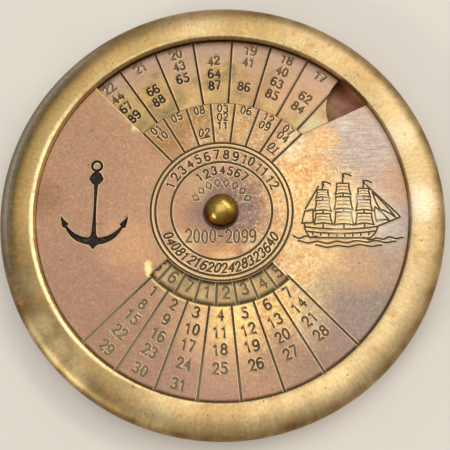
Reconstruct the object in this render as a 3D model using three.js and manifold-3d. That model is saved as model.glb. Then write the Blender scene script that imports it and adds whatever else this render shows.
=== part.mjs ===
// Pocket perpetual calendar: a round brass case with a dial plate over a year disc.
// A fingertip in the disc's half-round notch turns it until a year stands over its month.
// The weekdays on the same disc then stand over the dates.
// Millimetres, +Z out of the dial, +Y towards the year window, origin under the case's centre.

import * as THREE from 'three';
import { mergeVertices } from 'three/addons/utils/BufferGeometryUtils.js';
import Module from 'manifold-3d';

const wasm = await Module();
wasm.setup();

// Case ring: its rounded front ends in a sharp edge over a sloping lip, which overhangs the bore
const CASE_DIAMETER = 76.2;
const RIM_WIDTH = 6.2;
const RIM_RISE = 1.55;
const CREST_WIDTH_SHARE = 0.58;
const LIP_OVERHANG = 0.6;
const LIP_LAND = 0.1;
const LIP_SLOPE_WIDTH = 0.22;
const LIP_EDGE_RISE = 1.1;
const LIP_ROUND_END = 150;
const BELT_DROP = 0.5;
const FOOT_WIDTH = 2;

// Back plate, pressed into its step behind the bore
const BACK_SEAT_WIDTH = 1.3;
const BACK_THICKNESS = 0.8;
const BACK_RECESS = 1;

// Dial plate, pushed up against the lip from behind
const PLATE_THICKNESS = 0.65;
const PLATE_CHAMFER = 0.12;
const PLATE_FIT = 0.1;

// Windows of the dial plate: angles in degrees, anticlockwise from +X
const DIVISIONS = 28;
const YEAR_WINDOW_RADIUS = 19.7;
const YEAR_WINDOW_RIGHT = 45;
const YEAR_WINDOW_LEFT = 135;
const FINGER_EDGE_SLOPE = 26;
const DAY_WINDOW_INNER = 12.35;
const DAY_WINDOW_OUTER = 16.4;
const DAY_WINDOW_START = 223.5;
const DAY_WINDOW_END = 314.3;

// Engraved lines of the dial plate and the year disc
const GROOVE_WIDTH = 0.3;
const RING_RADII = [8.65, 11.35, 12.15];
const MONTH_LINES_START = 45;
const DATE_LINES_START = 225;
const LINES_PER_FIELD = 8;

// Anchor sunk in the dial plate: heights along Y, half widths from the shank's axis
const ANCHOR_EDGE_GAP = 4.85;
const ANCHOR_DEPTH = 0.4;
const CROWN_TIP_Y = -7;
const CROWN_SHOULDER = { x: 0.75, y: -6.2 };
const ARM_OUTER_BEND = { x: 3.65, y: -5.9 };
const ARM_OUTER_END = { x: 4.9, y: -3.3 };
const FLUKE_HEEL = { x: 5.4, y: -3.2 };
const FLUKE_BACK = { x: 5.75, y: -2.2 };
const FLUKE_TIP = { x: 5.8, y: -1.05 };
const FLUKE_FRONT = { x: 5.1, y: -1.95 };
const FLUKE_BARB = { x: 4.3, y: -2.55 };
const ARM_INNER_END = { x: 4.6, y: -2.95 };
const ARM_INNER_BEND = { x: 3, y: -4.75 };
const ARM_ROOT = { x: 1, y: -4.9 };
const SHANK_FILLET = { x: 0.5, y: -4.8 };
const SHANK_FOOT = { x: 0.45, y: -4 };
const SHANK_WAIST = { x: 0.08, y: 0.5 };
const SHANK_HEAD = { x: 0.38, y: 4.35 };
const STOCK_LOWER = { x: 0.95, y: 4.75 };
const STOCK_SIDE = { x: 1.28, y: 5.45 };
const STOCK_UPPER = { x: 1, y: 6.35 };
const STOCK_TOP = { x: 0.3, y: 6.85 };
const SHACKLE_Y = 7.8;
const SHACKLE_DIAMETER = 2.15;
const SHACKLE_HOLE = 1.25;

// Year disc with its finger notch
const DISC_GAP = 0.3;
const DISC_THICKNESS = 0.9;
const DISC_CHAMFER = 0.08;
const DISC_REST_TURN = -2.8;
const DISC_LINE_INNER = 11.6;
const NOTCH_RADIUS = 7.7;
const NORTH_COLUMN = 24;
const NOTCH_COLUMN = 20;

// Pivot: domed rivet, spacer bush and three washers
const HEAD_DIAMETER = 5.8;
const HEAD_HEIGHT = 2.5;
const SHANK_DIAMETER = 3;
const SHANK_FIT = 0.1;
const TAIL_DIAMETER = 4.6;
const TAIL_HEIGHT = 0.5;
const TAIL_WASHER_DIAMETER = 6.4;
const TAIL_WASHER_THICKNESS = 0.4;
const BUSH_DIAMETER = 5;
const RUNNING_FIT = 0.05;
const THRUST_WASHER_DIAMETER = 11;
const THRUST_WASHER_THICKNESS = 0.15;
const SPRING_DIAMETER = 10;
const SPRING_THICKNESS = 0.2;
const SPRING_HEIGHT = 1.2;
const SPRING_WAVES = 3;
const WASHER_FIT = 0.2;

// Fineness of the round forms
const LARGE_SEGMENTS = 3 * DIVISIONS;
const SMALL_SEGMENTS = 36;
const RIM_STEPS = 7;
const ARC_STEPS = 24;
const ANCHOR_STEPS = 5;
const OVERRUN = 0.5;

// Levels worked out from the stack of pieces
const CASE_RADIUS = CASE_DIAMETER / 2;
const LIP_RADIUS = CASE_RADIUS - RIM_WIDTH;
const BORE_RADIUS = LIP_RADIUS + LIP_OVERHANG;
const BACK_RADIUS = BORE_RADIUS + BACK_SEAT_WIDTH;
const PLATE_RADIUS = BORE_RADIUS - PLATE_FIT;
const BACK_TOP_Z = BACK_RECESS + BACK_THICKNESS;
const SPRING_Z = BACK_TOP_Z + RUNNING_FIT;
const DISC_Z = SPRING_Z + SPRING_HEIGHT + RUNNING_FIT;
const THRUST_WASHER_Z = DISC_Z + DISC_THICKNESS + RUNNING_FIT;
const PLATE_Z = THRUST_WASHER_Z + THRUST_WASHER_THICKNESS;
const PLATE_TOP_Z = PLATE_Z + PLATE_THICKNESS;
const DISC_RADIUS = BORE_RADIUS - DISC_GAP;
const DISC_HOLE_RADIUS = BUSH_DIAMETER / 2 + RUNNING_FIT;
const SHANK_HOLE_RADIUS = SHANK_DIAMETER / 2 + SHANK_FIT;
const DIVISION_ANGLE = 360 / DIVISIONS;

const radians = THREE.MathUtils.degToRad;

function polar(radius, degrees) {
  return new THREE.Vector2(radius * Math.cos(radians(degrees)), radius * Math.sin(radians(degrees)));
}

// Points along an ellipse, from one angle to another, both ends included
function elliptic(centreR, centreZ, halfWidth, halfHeight, fromDegrees, toDegrees) {
  return Array.from({ length: RIM_STEPS + 1 }, (_, step) => {
    const angle = radians(fromDegrees + (toDegrees - fromDegrees) * step / RIM_STEPS);
    return new THREE.Vector2(centreR + halfWidth * Math.cos(angle), centreZ + halfHeight * Math.sin(angle));
  });
}

// Ring or knob turned about Z from a profile of (radius, height) points
function turned(profile, segments) {
  const geometry = new THREE.LatheGeometry(profile, segments);
  return geometry.rotateX(Math.PI / 2);
}

// Plain tube or washer, its lower face at z = 0
function tube(innerRadius, outerRadius, height, segments) {
  const corners = [
    [innerRadius, 0],
    [outerRadius, 0],
    [outerRadius, height],
    [innerRadius, height],
    [innerRadius, 0],
  ];
  return turned(corners.map(([radius, z]) => new THREE.Vector2(radius, z)), segments);
}

// Sheet cut to an outline, both faces chamfered, its lower face at z = 0
function sheet(shape, thickness, chamfer) {
  const geometry = new THREE.ExtrudeGeometry(shape, {
    depth: thickness - 2 * chamfer,
    bevelEnabled: true,
    bevelThickness: chamfer,
    bevelSize: chamfer,
    bevelOffset: -chamfer,
    bevelSegments: 1,
    curveSegments: ARC_STEPS,
  });
  return geometry.translate(0, 0, chamfer);
}

function toSolid(geometry) {
  geometry.deleteAttribute('normal');
  geometry.deleteAttribute('uv');
  const merged = mergeVertices(geometry);
  return new wasm.Manifold(new wasm.Mesh({
    numProp: 3,
    vertProperties: new Float32Array(merged.attributes.position.array),
    triVerts: new Uint32Array(merged.index.array),
  }));
}

function toGeometry(solid) {
  const mesh = solid.getMesh();
  const geometry = new THREE.BufferGeometry();
  geometry.setAttribute('position', new THREE.BufferAttribute(mesh.vertProperties, 3));
  geometry.setIndex(new THREE.BufferAttribute(mesh.triVerts, 1));
  geometry.computeVertexNormals();
  return geometry;
}

function cutAll(body, tools) {
  return toGeometry(tools.reduce((solid, tool) => solid.subtract(toSolid(tool)), toSolid(body)));
}

// V-shaped groove along a radius, its axis on the surface
function radialGroove(innerRadius, outerRadius, degrees, surfaceZ) {
  const side = GROOVE_WIDTH / Math.SQRT2;
  const geometry = new THREE.BoxGeometry(outerRadius - innerRadius, side, side);
  geometry.rotateX(Math.PI / 4);
  geometry.translate((innerRadius + outerRadius) / 2, 0, surfaceZ);
  return geometry.rotateZ(radians(degrees));
}

// V-shaped groove round the centre, its axis on the surface
function ringGroove(radius, surfaceZ) {
  const half = GROOVE_WIDTH / 2;
  const corners = [
    [radius - half, surfaceZ],
    [radius, surfaceZ - half],
    [radius + half, surfaceZ],
    [radius, surfaceZ + half],
    [radius - half, surfaceZ],
  ];
  return turned(corners.map(([r, z]) => new THREE.Vector2(r, z)), LARGE_SEGMENTS);
}

function fieldOfLines(startDegrees, innerRadius, outerRadius) {
  return Array.from({ length: LINES_PER_FIELD }, (_, line) => (
    radialGroove(innerRadius, outerRadius, startDegrees + line * DIVISION_ANGLE, PLATE_THICKNESS)
  ));
}

// Case ring: rounded front, sloping lip over the dial plate, bore for plate and disc,
// step behind for the back plate, and a flat foot
function caseRing() {
  const crestRadius = CASE_RADIUS - RIM_WIDTH * CREST_WIDTH_SHARE;
  const crestZ = PLATE_TOP_Z + RIM_RISE;
  const beltZ = PLATE_TOP_Z - BELT_DROP;
  const edgeRadius = LIP_RADIUS + LIP_SLOPE_WIDTH;
  const innerHalfWidth = (edgeRadius - crestRadius) / Math.cos(radians(LIP_ROUND_END));
  const innerHalfHeight = (RIM_RISE - LIP_EDGE_RISE) / (1 - Math.sin(radians(LIP_ROUND_END)));
  const lipRound = elliptic(
    crestRadius,
    crestZ - innerHalfHeight,
    innerHalfWidth,
    innerHalfHeight,
    90,
    LIP_ROUND_END,
  );
  const backBore = BACK_RADIUS + PLATE_FIT;
  const footRadius = backBore + FOOT_WIDTH;
  const profile = [
    new THREE.Vector2(backBore, 0),
    ...elliptic(footRadius, beltZ, CASE_RADIUS - footRadius, beltZ, -90, 0),
    ...elliptic(crestRadius, beltZ, CASE_RADIUS - crestRadius, crestZ - beltZ, 0, 90).slice(1),
    ...lipRound.slice(1),
    new THREE.Vector2(LIP_RADIUS, PLATE_TOP_Z + LIP_LAND),
    new THREE.Vector2(LIP_RADIUS, PLATE_TOP_Z),
    new THREE.Vector2(BORE_RADIUS, PLATE_TOP_Z),
    new THREE.Vector2(BORE_RADIUS, BACK_TOP_Z),
    new THREE.Vector2(backBore, BACK_TOP_Z),
    new THREE.Vector2(backBore, 0),
  ];
  return turned(profile, LARGE_SEGMENTS);
}

// Dial plate outline: a round sheet with the year window open to its edge,
// a window over the weekdays and a hole for the rivet
function dialPlateShape() {
  const corner = polar(YEAR_WINDOW_RADIUS, YEAR_WINDOW_RIGHT);
  const direction = polar(1, FINGER_EDGE_SLOPE);
  const along = corner.dot(direction);
  const run = Math.sqrt(along ** 2 + PLATE_RADIUS ** 2 - corner.lengthSq()) - along;
  const fingerEnd = corner.clone().addScaledVector(direction, run);
  const shape = new THREE.Shape();
  shape.absarc(0, 0, PLATE_RADIUS, radians(YEAR_WINDOW_LEFT), fingerEnd.angle() + 2 * Math.PI, false);
  shape.absarc(0, 0, YEAR_WINDOW_RADIUS, radians(YEAR_WINDOW_RIGHT), radians(YEAR_WINDOW_LEFT), false);
  shape.closePath();
  const dayWindow = new THREE.Path();
  dayWindow.absarc(0, 0, DAY_WINDOW_INNER, radians(DAY_WINDOW_START), radians(DAY_WINDOW_END), false);
  dayWindow.absarc(0, 0, DAY_WINDOW_OUTER, radians(DAY_WINDOW_END), radians(DAY_WINDOW_START), true);
  dayWindow.closePath();
  const rivetHole = new THREE.Path();
  rivetHole.absarc(0, 0, SHANK_HOLE_RADIUS, 0, 2 * Math.PI, true);
  shape.holes.push(dayWindow, rivetHole);
  return shape;
}

// One side of the anchor from crown to shackle; side is 1 for the right and -1 for the left
function anchorSide(path, side) {
  const at = (point) => [side * point.x, point.y];
  const outline = [
    [CROWN_SHOULDER],
    [ARM_OUTER_BEND, ARM_OUTER_END],
    [FLUKE_HEEL],
    [FLUKE_BACK, FLUKE_TIP],
    [FLUKE_FRONT, FLUKE_BARB],
    [ARM_INNER_END],
    [ARM_INNER_BEND, ARM_ROOT],
    [SHANK_FILLET, SHANK_FOOT],
    [SHANK_WAIST, SHANK_HEAD],
    [STOCK_LOWER, STOCK_SIDE],
    [STOCK_UPPER, STOCK_TOP],
  ];
  for (const [first, second] of outline) {
    if (second) path.quadraticCurveTo(...at(first), ...at(second));
    else path.lineTo(...at(first));
  }
}

function anchorTools() {
  const right = new THREE.Path();
  right.moveTo(0, CROWN_TIP_Y);
  anchorSide(right, 1);
  const left = new THREE.Path();
  left.moveTo(0, CROWN_TIP_Y);
  anchorSide(left, -1);
  const rightPoints = right.getPoints(ANCHOR_STEPS);
  const leftPoints = left.getPoints(ANCHOR_STEPS).slice(1).reverse();
  const anchor = new THREE.Shape([...rightPoints, ...leftPoints]);
  const anchorX = ANCHOR_EDGE_GAP + FLUKE_TIP.x - PLATE_RADIUS;
  const shackle = new THREE.Shape();
  shackle.absarc(0, SHACKLE_Y, SHACKLE_DIAMETER / 2, 0, 2 * Math.PI, false);
  const opening = new THREE.Path();
  opening.absarc(0, SHACKLE_Y, SHACKLE_HOLE / 2, 0, 2 * Math.PI, true);
  shackle.holes.push(opening);
  return [anchor, shackle].map((shape) => (
    new THREE.ExtrudeGeometry(shape, {
      depth: ANCHOR_DEPTH + OVERRUN,
      bevelEnabled: false,
      curveSegments: ANCHOR_STEPS,
    }).translate(anchorX, 0, PLATE_THICKNESS - ANCHOR_DEPTH)
  ));
}

function dialPlate() {
  const rings = RING_RADII.map((radius) => ringGroove(radius, PLATE_THICKNESS));
  const monthLines = fieldOfLines(
    MONTH_LINES_START,
    RING_RADII[RING_RADII.length - 1],
    YEAR_WINDOW_RADIUS + OVERRUN,
  );
  const dateLines = fieldOfLines(DATE_LINES_START, DAY_WINDOW_OUTER - OVERRUN, PLATE_RADIUS + OVERRUN);
  const body = sheet(dialPlateShape(), PLATE_THICKNESS, PLATE_CHAMFER);
  return cutAll(body, [...rings, ...monthLines, ...dateLines, ...anchorTools()]);
}

// Year disc outline: a round sheet with a half-round finger notch centred on its edge
function yearDiscShape() {
  const notchAngle = 90 + DIVISION_ANGLE * (NOTCH_COLUMN - NORTH_COLUMN);
  const halfOpening = THREE.MathUtils.radToDeg(2 * Math.asin(NOTCH_RADIUS / (2 * DISC_RADIUS)));
  const centre = polar(DISC_RADIUS, notchAngle);
  const first = polar(DISC_RADIUS, notchAngle - halfOpening).sub(centre);
  const last = polar(DISC_RADIUS, notchAngle + halfOpening).sub(centre);
  const shape = new THREE.Shape();
  shape.absarc(
    0,
    0,
    DISC_RADIUS,
    radians(notchAngle + halfOpening),
    radians(notchAngle - halfOpening) + 2 * Math.PI,
    false,
  );
  shape.absarc(centre.x, centre.y, NOTCH_RADIUS, first.angle(), last.angle(), true);
  shape.closePath();
  const bushHole = new THREE.Path();
  bushHole.absarc(0, 0, DISC_HOLE_RADIUS, 0, 2 * Math.PI, true);
  shape.holes.push(bushHole);
  return shape;
}

function yearDisc() {
  const lines = Array.from({ length: DIVISIONS }, (_, line) => (
    radialGroove(DISC_LINE_INNER, DISC_RADIUS + OVERRUN, 90 + line * DIVISION_ANGLE, DISC_THICKNESS)
  ));
  return cutAll(sheet(yearDiscShape(), DISC_THICKNESS, DISC_CHAMFER), lines);
}

// Rivet: low peened tail, plain shank and domed head
function rivet() {
  const headRadius = HEAD_DIAMETER / 2;
  const shankRadius = SHANK_DIAMETER / 2;
  const tailRadius = TAIL_DIAMETER / 2;
  const tailTopZ = BACK_RECESS - TAIL_WASHER_THICKNESS;
  const profile = [
    ...elliptic(0, tailTopZ, tailRadius, TAIL_HEIGHT, -90, 0),
    new THREE.Vector2(shankRadius, tailTopZ),
    new THREE.Vector2(shankRadius, PLATE_TOP_Z),
    ...elliptic(0, PLATE_TOP_Z, headRadius, HEAD_HEIGHT, 0, 90),
  ];
  return turned(profile, SMALL_SEGMENTS);
}

// Wave washer: a flat ring bent into even waves round its circle
function springWasher() {
  const innerRadius = BUSH_DIAMETER / 2 + WASHER_FIT;
  const geometry = tube(innerRadius, SPRING_DIAMETER / 2, SPRING_THICKNESS, SMALL_SEGMENTS);
  const swing = (SPRING_HEIGHT - SPRING_THICKNESS) / 2;
  const position = geometry.attributes.position;
  for (let i = 0; i < position.count; i += 1) {
    const angle = Math.atan2(position.getY(i), position.getX(i));
    position.setZ(i, position.getZ(i) + swing * (1 + Math.cos(SPRING_WAVES * angle)));
  }
  geometry.computeVertexNormals();
  return geometry;
}

function brass(color, roughness) {
  return new THREE.MeshStandardMaterial({ color, roughness, metalness: 1 });
}

const antiqueBrass = brass(0xb08d55, 0.42);
const coppery = brass(0xb5835c, 0.5);
const tannedBrass = brass(0xb38f63, 0.55);
const olivedBrass = brass(0x9a7a33, 0.25);
const springBronze = brass(0xa8763e, 0.35);

function piece(name, geometry, material, z = 0) {
  const mesh = new THREE.Mesh(geometry, material);
  mesh.name = name;
  mesh.position.z = z;
  return mesh;
}

const calendar = new THREE.Group();
calendar.add(
  piece('case_rim', caseRing(), antiqueBrass),
  piece(
    'back_plate',
    tube(SHANK_HOLE_RADIUS, BACK_RADIUS, BACK_THICKNESS, LARGE_SEGMENTS),
    antiqueBrass,
    BACK_RECESS,
  ),
  piece('dial_plate', dialPlate(), coppery, PLATE_Z),
  piece('pivot_rivet', rivet(), olivedBrass),
  piece(
    'pivot_bush',
    tube(SHANK_HOLE_RADIUS, BUSH_DIAMETER / 2, PLATE_Z - BACK_TOP_Z, SMALL_SEGMENTS),
    olivedBrass,
    BACK_TOP_Z,
  ),
  piece(
    'thrust_washer',
    tube(BUSH_DIAMETER / 2 + WASHER_FIT, THRUST_WASHER_DIAMETER / 2, THRUST_WASHER_THICKNESS, SMALL_SEGMENTS),
    springBronze,
    THRUST_WASHER_Z,
  ),
  piece('spring_washer', springWasher(), springBronze, SPRING_Z),
  piece(
    'tail_washer',
    tube(SHANK_HOLE_RADIUS, TAIL_WASHER_DIAMETER / 2, TAIL_WASHER_THICKNESS, SMALL_SEGMENTS),
    antiqueBrass,
    BACK_RECESS - TAIL_WASHER_THICKNESS,
  ),
);

// The year disc turns about the bush; at rest it stands where it was last set
const turningDisc = new THREE.Group();
turningDisc.rotation.z = radians(DISC_REST_TURN);
turningDisc.add(piece('year_disc', yearDisc(), tannedBrass, DISC_Z));
calendar.add(turningDisc);

export default calendar;
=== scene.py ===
"""Pocket perpetual calendar, dressed for its portrait: a round antique brass case with an engraved
dial plate over a numbered disc. Metres, +Z out of the dial, +Y towards the year window."""

import collections
import functools
import math

import bmesh
import bpy
import numpy as np
from mathutils import Matrix, Vector, geometry


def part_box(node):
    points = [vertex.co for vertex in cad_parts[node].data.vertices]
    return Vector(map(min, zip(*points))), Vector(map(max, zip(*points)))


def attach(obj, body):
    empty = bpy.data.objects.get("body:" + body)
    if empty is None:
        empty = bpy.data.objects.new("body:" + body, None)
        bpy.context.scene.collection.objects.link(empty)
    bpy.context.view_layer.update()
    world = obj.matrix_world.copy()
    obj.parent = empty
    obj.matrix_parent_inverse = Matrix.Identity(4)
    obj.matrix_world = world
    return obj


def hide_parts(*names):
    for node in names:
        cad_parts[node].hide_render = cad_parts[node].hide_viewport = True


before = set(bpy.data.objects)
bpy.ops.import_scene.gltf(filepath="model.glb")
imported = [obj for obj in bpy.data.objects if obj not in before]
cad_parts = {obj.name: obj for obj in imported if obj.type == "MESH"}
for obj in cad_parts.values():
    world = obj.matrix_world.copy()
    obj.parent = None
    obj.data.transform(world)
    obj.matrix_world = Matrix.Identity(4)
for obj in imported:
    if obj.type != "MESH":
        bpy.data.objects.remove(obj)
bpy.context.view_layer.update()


# Studio: a pale matt floor, a wide soft lamp over the dial, a tall one and a weak one to the right,
# a narrow low one to the left, and a camera over the dial, tipped back by about 14 degrees.
MM = 0.001
PLATE_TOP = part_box("dial_plate")[1].z
FLOOR_SIZE = 6.0
FLOOR_COLOUR = "#E4E1DB"
SKY_COLOURS = [(0.0, "#8B8987"), (0.5, "#A6A4A1"), (0.75, "#C2C0BC"), (1.0, "#E6E4E1")]
SKY_STRENGTH = 0.8
CAMERA_PLACE = Vector((3.055, -31.338, 120.932)) * MM
CAMERA_AIM = Vector((0.615, -2.587, 0.0)) * MM
CAMERA_ROLL = 0.585
CAMERA_LENS = 58.42
CAMERA_SENSOR = 36.0
CAMERA_NEAR = 0.005
LAMPS = {
    # name: direction from the dial, distance, width, height, watts, colour
    "soft_box": ((-0.04, 0.18, 0.98), 0.60, 0.66, 0.50, 1.0, "#FFF8EE"),
    "window": ((0.44, 0.52, 0.73), 0.60, 0.60, 0.12, 0.8, "#FFF6E8"),
    "right_fill": ((0.85, 0.15, 0.50), 0.55, 0.40, 0.40, 0.3, "#FFF2E2"),
    "left_glint": ((-0.72, -0.58, 0.38), 0.60, 0.16, 0.06, 0.8, "#FFF6E8"),
}


def linear(code):
    """A colour written as sRGB hex, as linear red, green, blue and alpha."""
    channels = [int(code[i:i + 2], 16) / 255 for i in (1, 3, 5)]
    return [c / 12.92 if c <= 0.04045 else ((c + 0.055) / 1.055) ** 2.4 for c in channels] + [1.0]


def add_node(tree, kind, inputs=(), output=None, stops=(), **settings):
    """Adds a shader node with its settings, its values or links in the sockets' order or by
    socket, and a ramp's stops. It gives the output asked for, or else the first one in use."""
    node = tree.nodes.new("ShaderNode" + kind)
    for name, value in settings.items():
        setattr(node, name, value)
    for socket, value in inputs.items() if isinstance(inputs, dict) else enumerate(inputs):
        if isinstance(value, bpy.types.NodeSocket):
            tree.links.new(value, node.inputs[socket])
        else:
            node.inputs[socket].default_value = value
    if stops:
        elements = node.color_ramp.elements
        while len(elements) > 1:
            elements.remove(elements[-1])
        for index, (position, code) in enumerate(stops):
            element = elements[0] if index == 0 else elements.new(position)
            element.position = position
            element.color = linear(code)
    return node.outputs[output] if output else next((o for o in node.outputs if o.enabled), None)


def node_adder(owner):
    """Empties the nodes of a new material or world, and gives a function that adds one to them."""
    owner.use_nodes = True
    owner.node_tree.nodes.clear()
    return functools.partial(add_node, owner.node_tree)


def new_object(name, data):
    """Puts an object with a mesh, a light or a camera into the scene."""
    item = bpy.data.objects.new(name, data)
    bpy.context.scene.collection.objects.link(item)
    return item


def matt_paper():
    """Pale studio paper, matt, with a faint mottle."""
    material = bpy.data.materials.new("matt_paper")
    add = node_adder(material)
    place = add("TexCoord", output="Object")
    mottle = add("TexNoise", {"Vector": place, "Scale": 60.0, "Detail": 4.0})
    tone = add("MapRange", {0: mottle, 3: 0.97, 4: 1.03})
    colour = add("VectorMath", {0: linear(FLOOR_COLOUR)[:3], 3: tone}, operation="SCALE")
    paper = add("BsdfPrincipled", {"Base Color": colour, "Roughness": 0.9})
    add("OutputMaterial", {"Surface": paper})
    return material


floor_mesh = bpy.data.meshes.new("floor")
floor_half = FLOOR_SIZE / 2
floor_corners = [(-floor_half, -floor_half, 0), (floor_half, -floor_half, 0)]
floor_corners += [(floor_half, floor_half, 0), (-floor_half, floor_half, 0)]
floor_mesh.from_pydata(floor_corners, [], [(0, 1, 2, 3)])
floor_mesh.materials.append(matt_paper())
new_object("floor", floor_mesh)

world = bpy.data.worlds.new("studio")
add_to_sky = node_adder(world)
sky_place = add_to_sky("TexCoord", output="Generated")
sky_height = add_to_sky("SeparateXYZ", (sky_place,), "Z")
sky_share = add_to_sky("MapRange", (sky_height, -1.0, 1.0))
sky_colour = add_to_sky("ValToRGB", (sky_share,), stops=SKY_COLOURS)
sky = add_to_sky("Background", {"Color": sky_colour, "Strength": SKY_STRENGTH})
add_to_sky("OutputWorld", {"Surface": sky})
bpy.context.scene.world = world

for lamp_name, (direction, distance, width, height, watts, code) in LAMPS.items():
    light = bpy.data.lights.new(lamp_name, "AREA")
    light.shape = "RECTANGLE"
    light.size = width
    light.size_y = height
    light.energy = watts
    light.color = linear(code)[:3]
    lamp = new_object(lamp_name, light)
    lamp.location = Vector(direction).normalized() * distance
    lamp.rotation_mode = "QUATERNION"
    lamp.rotation_quaternion = (-lamp.location).to_track_quat("-Z", "Y")

camera_data = bpy.data.cameras.new("camera")
camera_data.lens = CAMERA_LENS
camera_data.sensor_width = CAMERA_SENSOR
camera_data.clip_start = CAMERA_NEAR
camera = new_object("camera", camera_data)
camera_back = (CAMERA_PLACE - CAMERA_AIM).normalized()
camera_right = Vector((0, 1, 0)).cross(camera_back).normalized()
camera_turn = Matrix((camera_right, camera_back.cross(camera_right), camera_back)).transposed()
camera.matrix_world = (
    Matrix.Translation(CAMERA_PLACE + Vector((0, 0, PLATE_TOP)))
    @ camera_turn.to_4x4()
    @ Matrix.Rotation(math.radians(CAMERA_ROLL), 4, "Z")
)
bpy.context.scene.camera = camera
bpy.context.scene.view_settings.view_transform = "Standard"


# Case rim: a ring of antique brass turned on a lathe, rounded in front and flat at the foot.
# It was brushed across the rim by hand, then browned. Its colour also paints shade that darkens
# towards the side, highlights at the lip, right and lower left, and a reflected band on the left.
CASE_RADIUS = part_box("case_rim")[1].x / MM
PLATE_TOP_MM = PLATE_TOP / MM
RIM_WIDTH = 6.2
RIM_RISE = 1.55
CREST_WIDTH_SHARE = 0.58
LIP_OVERHANG = 0.6
LIP_LAND = 0.1
LIP_SLOPE_WIDTH = 0.22
LIP_EDGE_RISE = 1.1
LIP_ROUND_END = 150
BELT_DROP = 0.5
FOOT_WIDTH = 2.0
BACK_SEAT_WIDTH = 1.3
BACK_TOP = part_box("back_plate")[1].z / MM
PLATE_FIT = 0.1
RIM_SEGMENTS = 720
RIM_STEPS = 26
LIP_RADIUS = CASE_RADIUS - RIM_WIDTH
BORE_RADIUS = LIP_RADIUS + LIP_OVERHANG
SHARP_ANGLE = 32
BRUSH_SPACING = 0.22
BRUSH_LENGTH = 3.0
# Dents knocked into the rim: angle in degrees, radius, width and depth in millimetres
RIM_NICKS = [
    (90.5, 32.9, 0.7, 0.10),
    (66.5, 32.6, 0.6, 0.10),
    (175.5, 32.3, 0.6, 0.16),
    (334.0, 37.3, 0.6, 0.06),
    (15.0, 36.2, 0.7, 0.05),
    (24.0, 35.6, 0.6, 0.05),
    (300.0, 34.6, 0.8, 0.04),
    (204.0, 32.5, 0.5, 0.07),
    (262.0, 32.6, 0.6, 0.07),
]
# Tone of the rim by radius, from the lip out to the side: a brown film, painted shade that darkens it towards
# the side, and a painted highlight on the lip's edge
RIM_TONES_AND_SHADE = [
    (31.9, "#A08252"),
    (32.12, "#F0DCA6"),
    (32.5, "#E4CA96"),
    (34.2, "#D8BE8E"),
    (35.4, "#CDB488"),
    (36.4, "#C8AE7E"),
    (37.3, "#B09466"),
    (38.1, "#8A6A40"),
]
# Painted reflection on the left: a silvery band on the outer part, with a dark olive band inside it
REFLECTED_BAND_TONES = [
    (32.3, "#D0B884"),
    (33.0, "#B49C6C"),
    (34.6, "#AA8C56"),
    (35.7, "#7A6844"),
    (36.3, "#968C74"),
    (36.8, "#CAC4B4"),
    (37.2, "#B0A894"),
    (37.6, "#87775A"),
]
REFLECTED_BAND_ANGLE = 160
# Painted highlight on the left of the lip, where light from the right strikes its wall: angle and outer
# radius
LIT_LIP_ANGLE = 190
LIT_LIP_RADIUS = 32.5
# Darker film on parts of the rim, and painted shade over its left half: x, y and radius in millimetres,
# colour and strength
RIM_FILM_AND_SHADE = [
    (-16.0, 30.0, 8.0, "#C2B490", 0.7),
    (-28.0, 19.5, 8.0, "#9C9076", 0.75),
    (-33.0, 7.5, 8.0, "#867E6A", 0.8),
    (-33.5, -7.0, 8.0, "#807862", 0.8),
    (-27.5, -18.5, 8.0, "#827A62", 0.8),
    (-17.5, -28.0, 8.0, "#9C947A", 0.7),
    (4.0, 33.5, 7.0, "#D2C4A2", 0.6),
    (0.0, -33.6, 6.0, "#DACCAA", 0.5),
    (24.0, 24.0, 4.0, "#E6DABC", 0.5),
]
# Painted highlights on the rim, where it glints pale on the right and the lower left
RIM_HIGHLIGHTS = [
    (33.0, 1.0, 3.2, "#FFF4DC", 0.65),
    (30.0, 13.0, 3.5, "#FFF0D0", 0.4),
    (18.0, -28.6, 4.0, "#F6D8A0", 0.5),
    (-30.0, -20.6, 2.4, "#DCC894", 0.6),
    (-27.0, -24.4, 2.4, "#DCC894", 0.6),
    (-23.2, -28.0, 2.4, "#DCC894", 0.6),
]


def polar(radius, degrees):
    return np.array([radius * math.cos(math.radians(degrees)), radius * math.sin(math.radians(degrees))])


def elliptic(centre_r, centre_z, half_width, half_height, start, end, steps):
    """Points along an ellipse from one angle to another, both ends included."""
    angles = np.radians(np.linspace(start, end, steps + 1))
    return list(zip(centre_r + half_width * np.cos(angles), centre_z + half_height * np.sin(angles)))


def new_piece(mesh, material, body, node):
    """Puts a mesh into the scene under its own name, on its body and in place of its node."""
    mesh.materials.append(material)
    piece = new_object(mesh.name, mesh)
    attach(piece, body)
    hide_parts(node)


def turned(name, profile, segments, dents=()):
    """A closed profile of (radius, height) in millimetres, turned about Z; a radius of zero closes it."""
    profile = np.array(profile)
    angles = np.arange(segments) * 2 * np.pi / segments
    radius, height = profile[:, 0][:, None], profile[:, 1][:, None]
    grid = np.stack([radius * np.cos(angles), radius * np.sin(angles), height + 0 * angles], axis=-1)
    for angle, dent_radius, width, depth in dents:
        away = np.hypot(*np.moveaxis(grid[..., :2] - polar(dent_radius, angle), -1, 0))
        on_top = grid[..., 2] > PLATE_TOP_MM + LIP_LAND / 2
        grid[..., 2] -= np.where(on_top, depth * np.exp(-(2 * away / width) ** 2), 0)
    rows = len(profile)
    index = np.arange(rows * segments).reshape(rows, segments)
    after = np.roll(index, -1, axis=1)
    quads = np.stack([index[:-1], after[:-1], after[1:], index[1:]], axis=-1).reshape(-1, 4)
    mesh = bpy.data.meshes.new(name)
    mesh.from_pydata((grid.reshape(-1, 3) * MM).tolist(), [], quads.tolist())
    weld(mesh)
    mesh.polygons.foreach_set("use_smooth", np.ones(len(mesh.polygons), bool))
    mesh.set_sharp_from_angle(angle=math.radians(SHARP_ANGLE))
    return mesh


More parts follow.
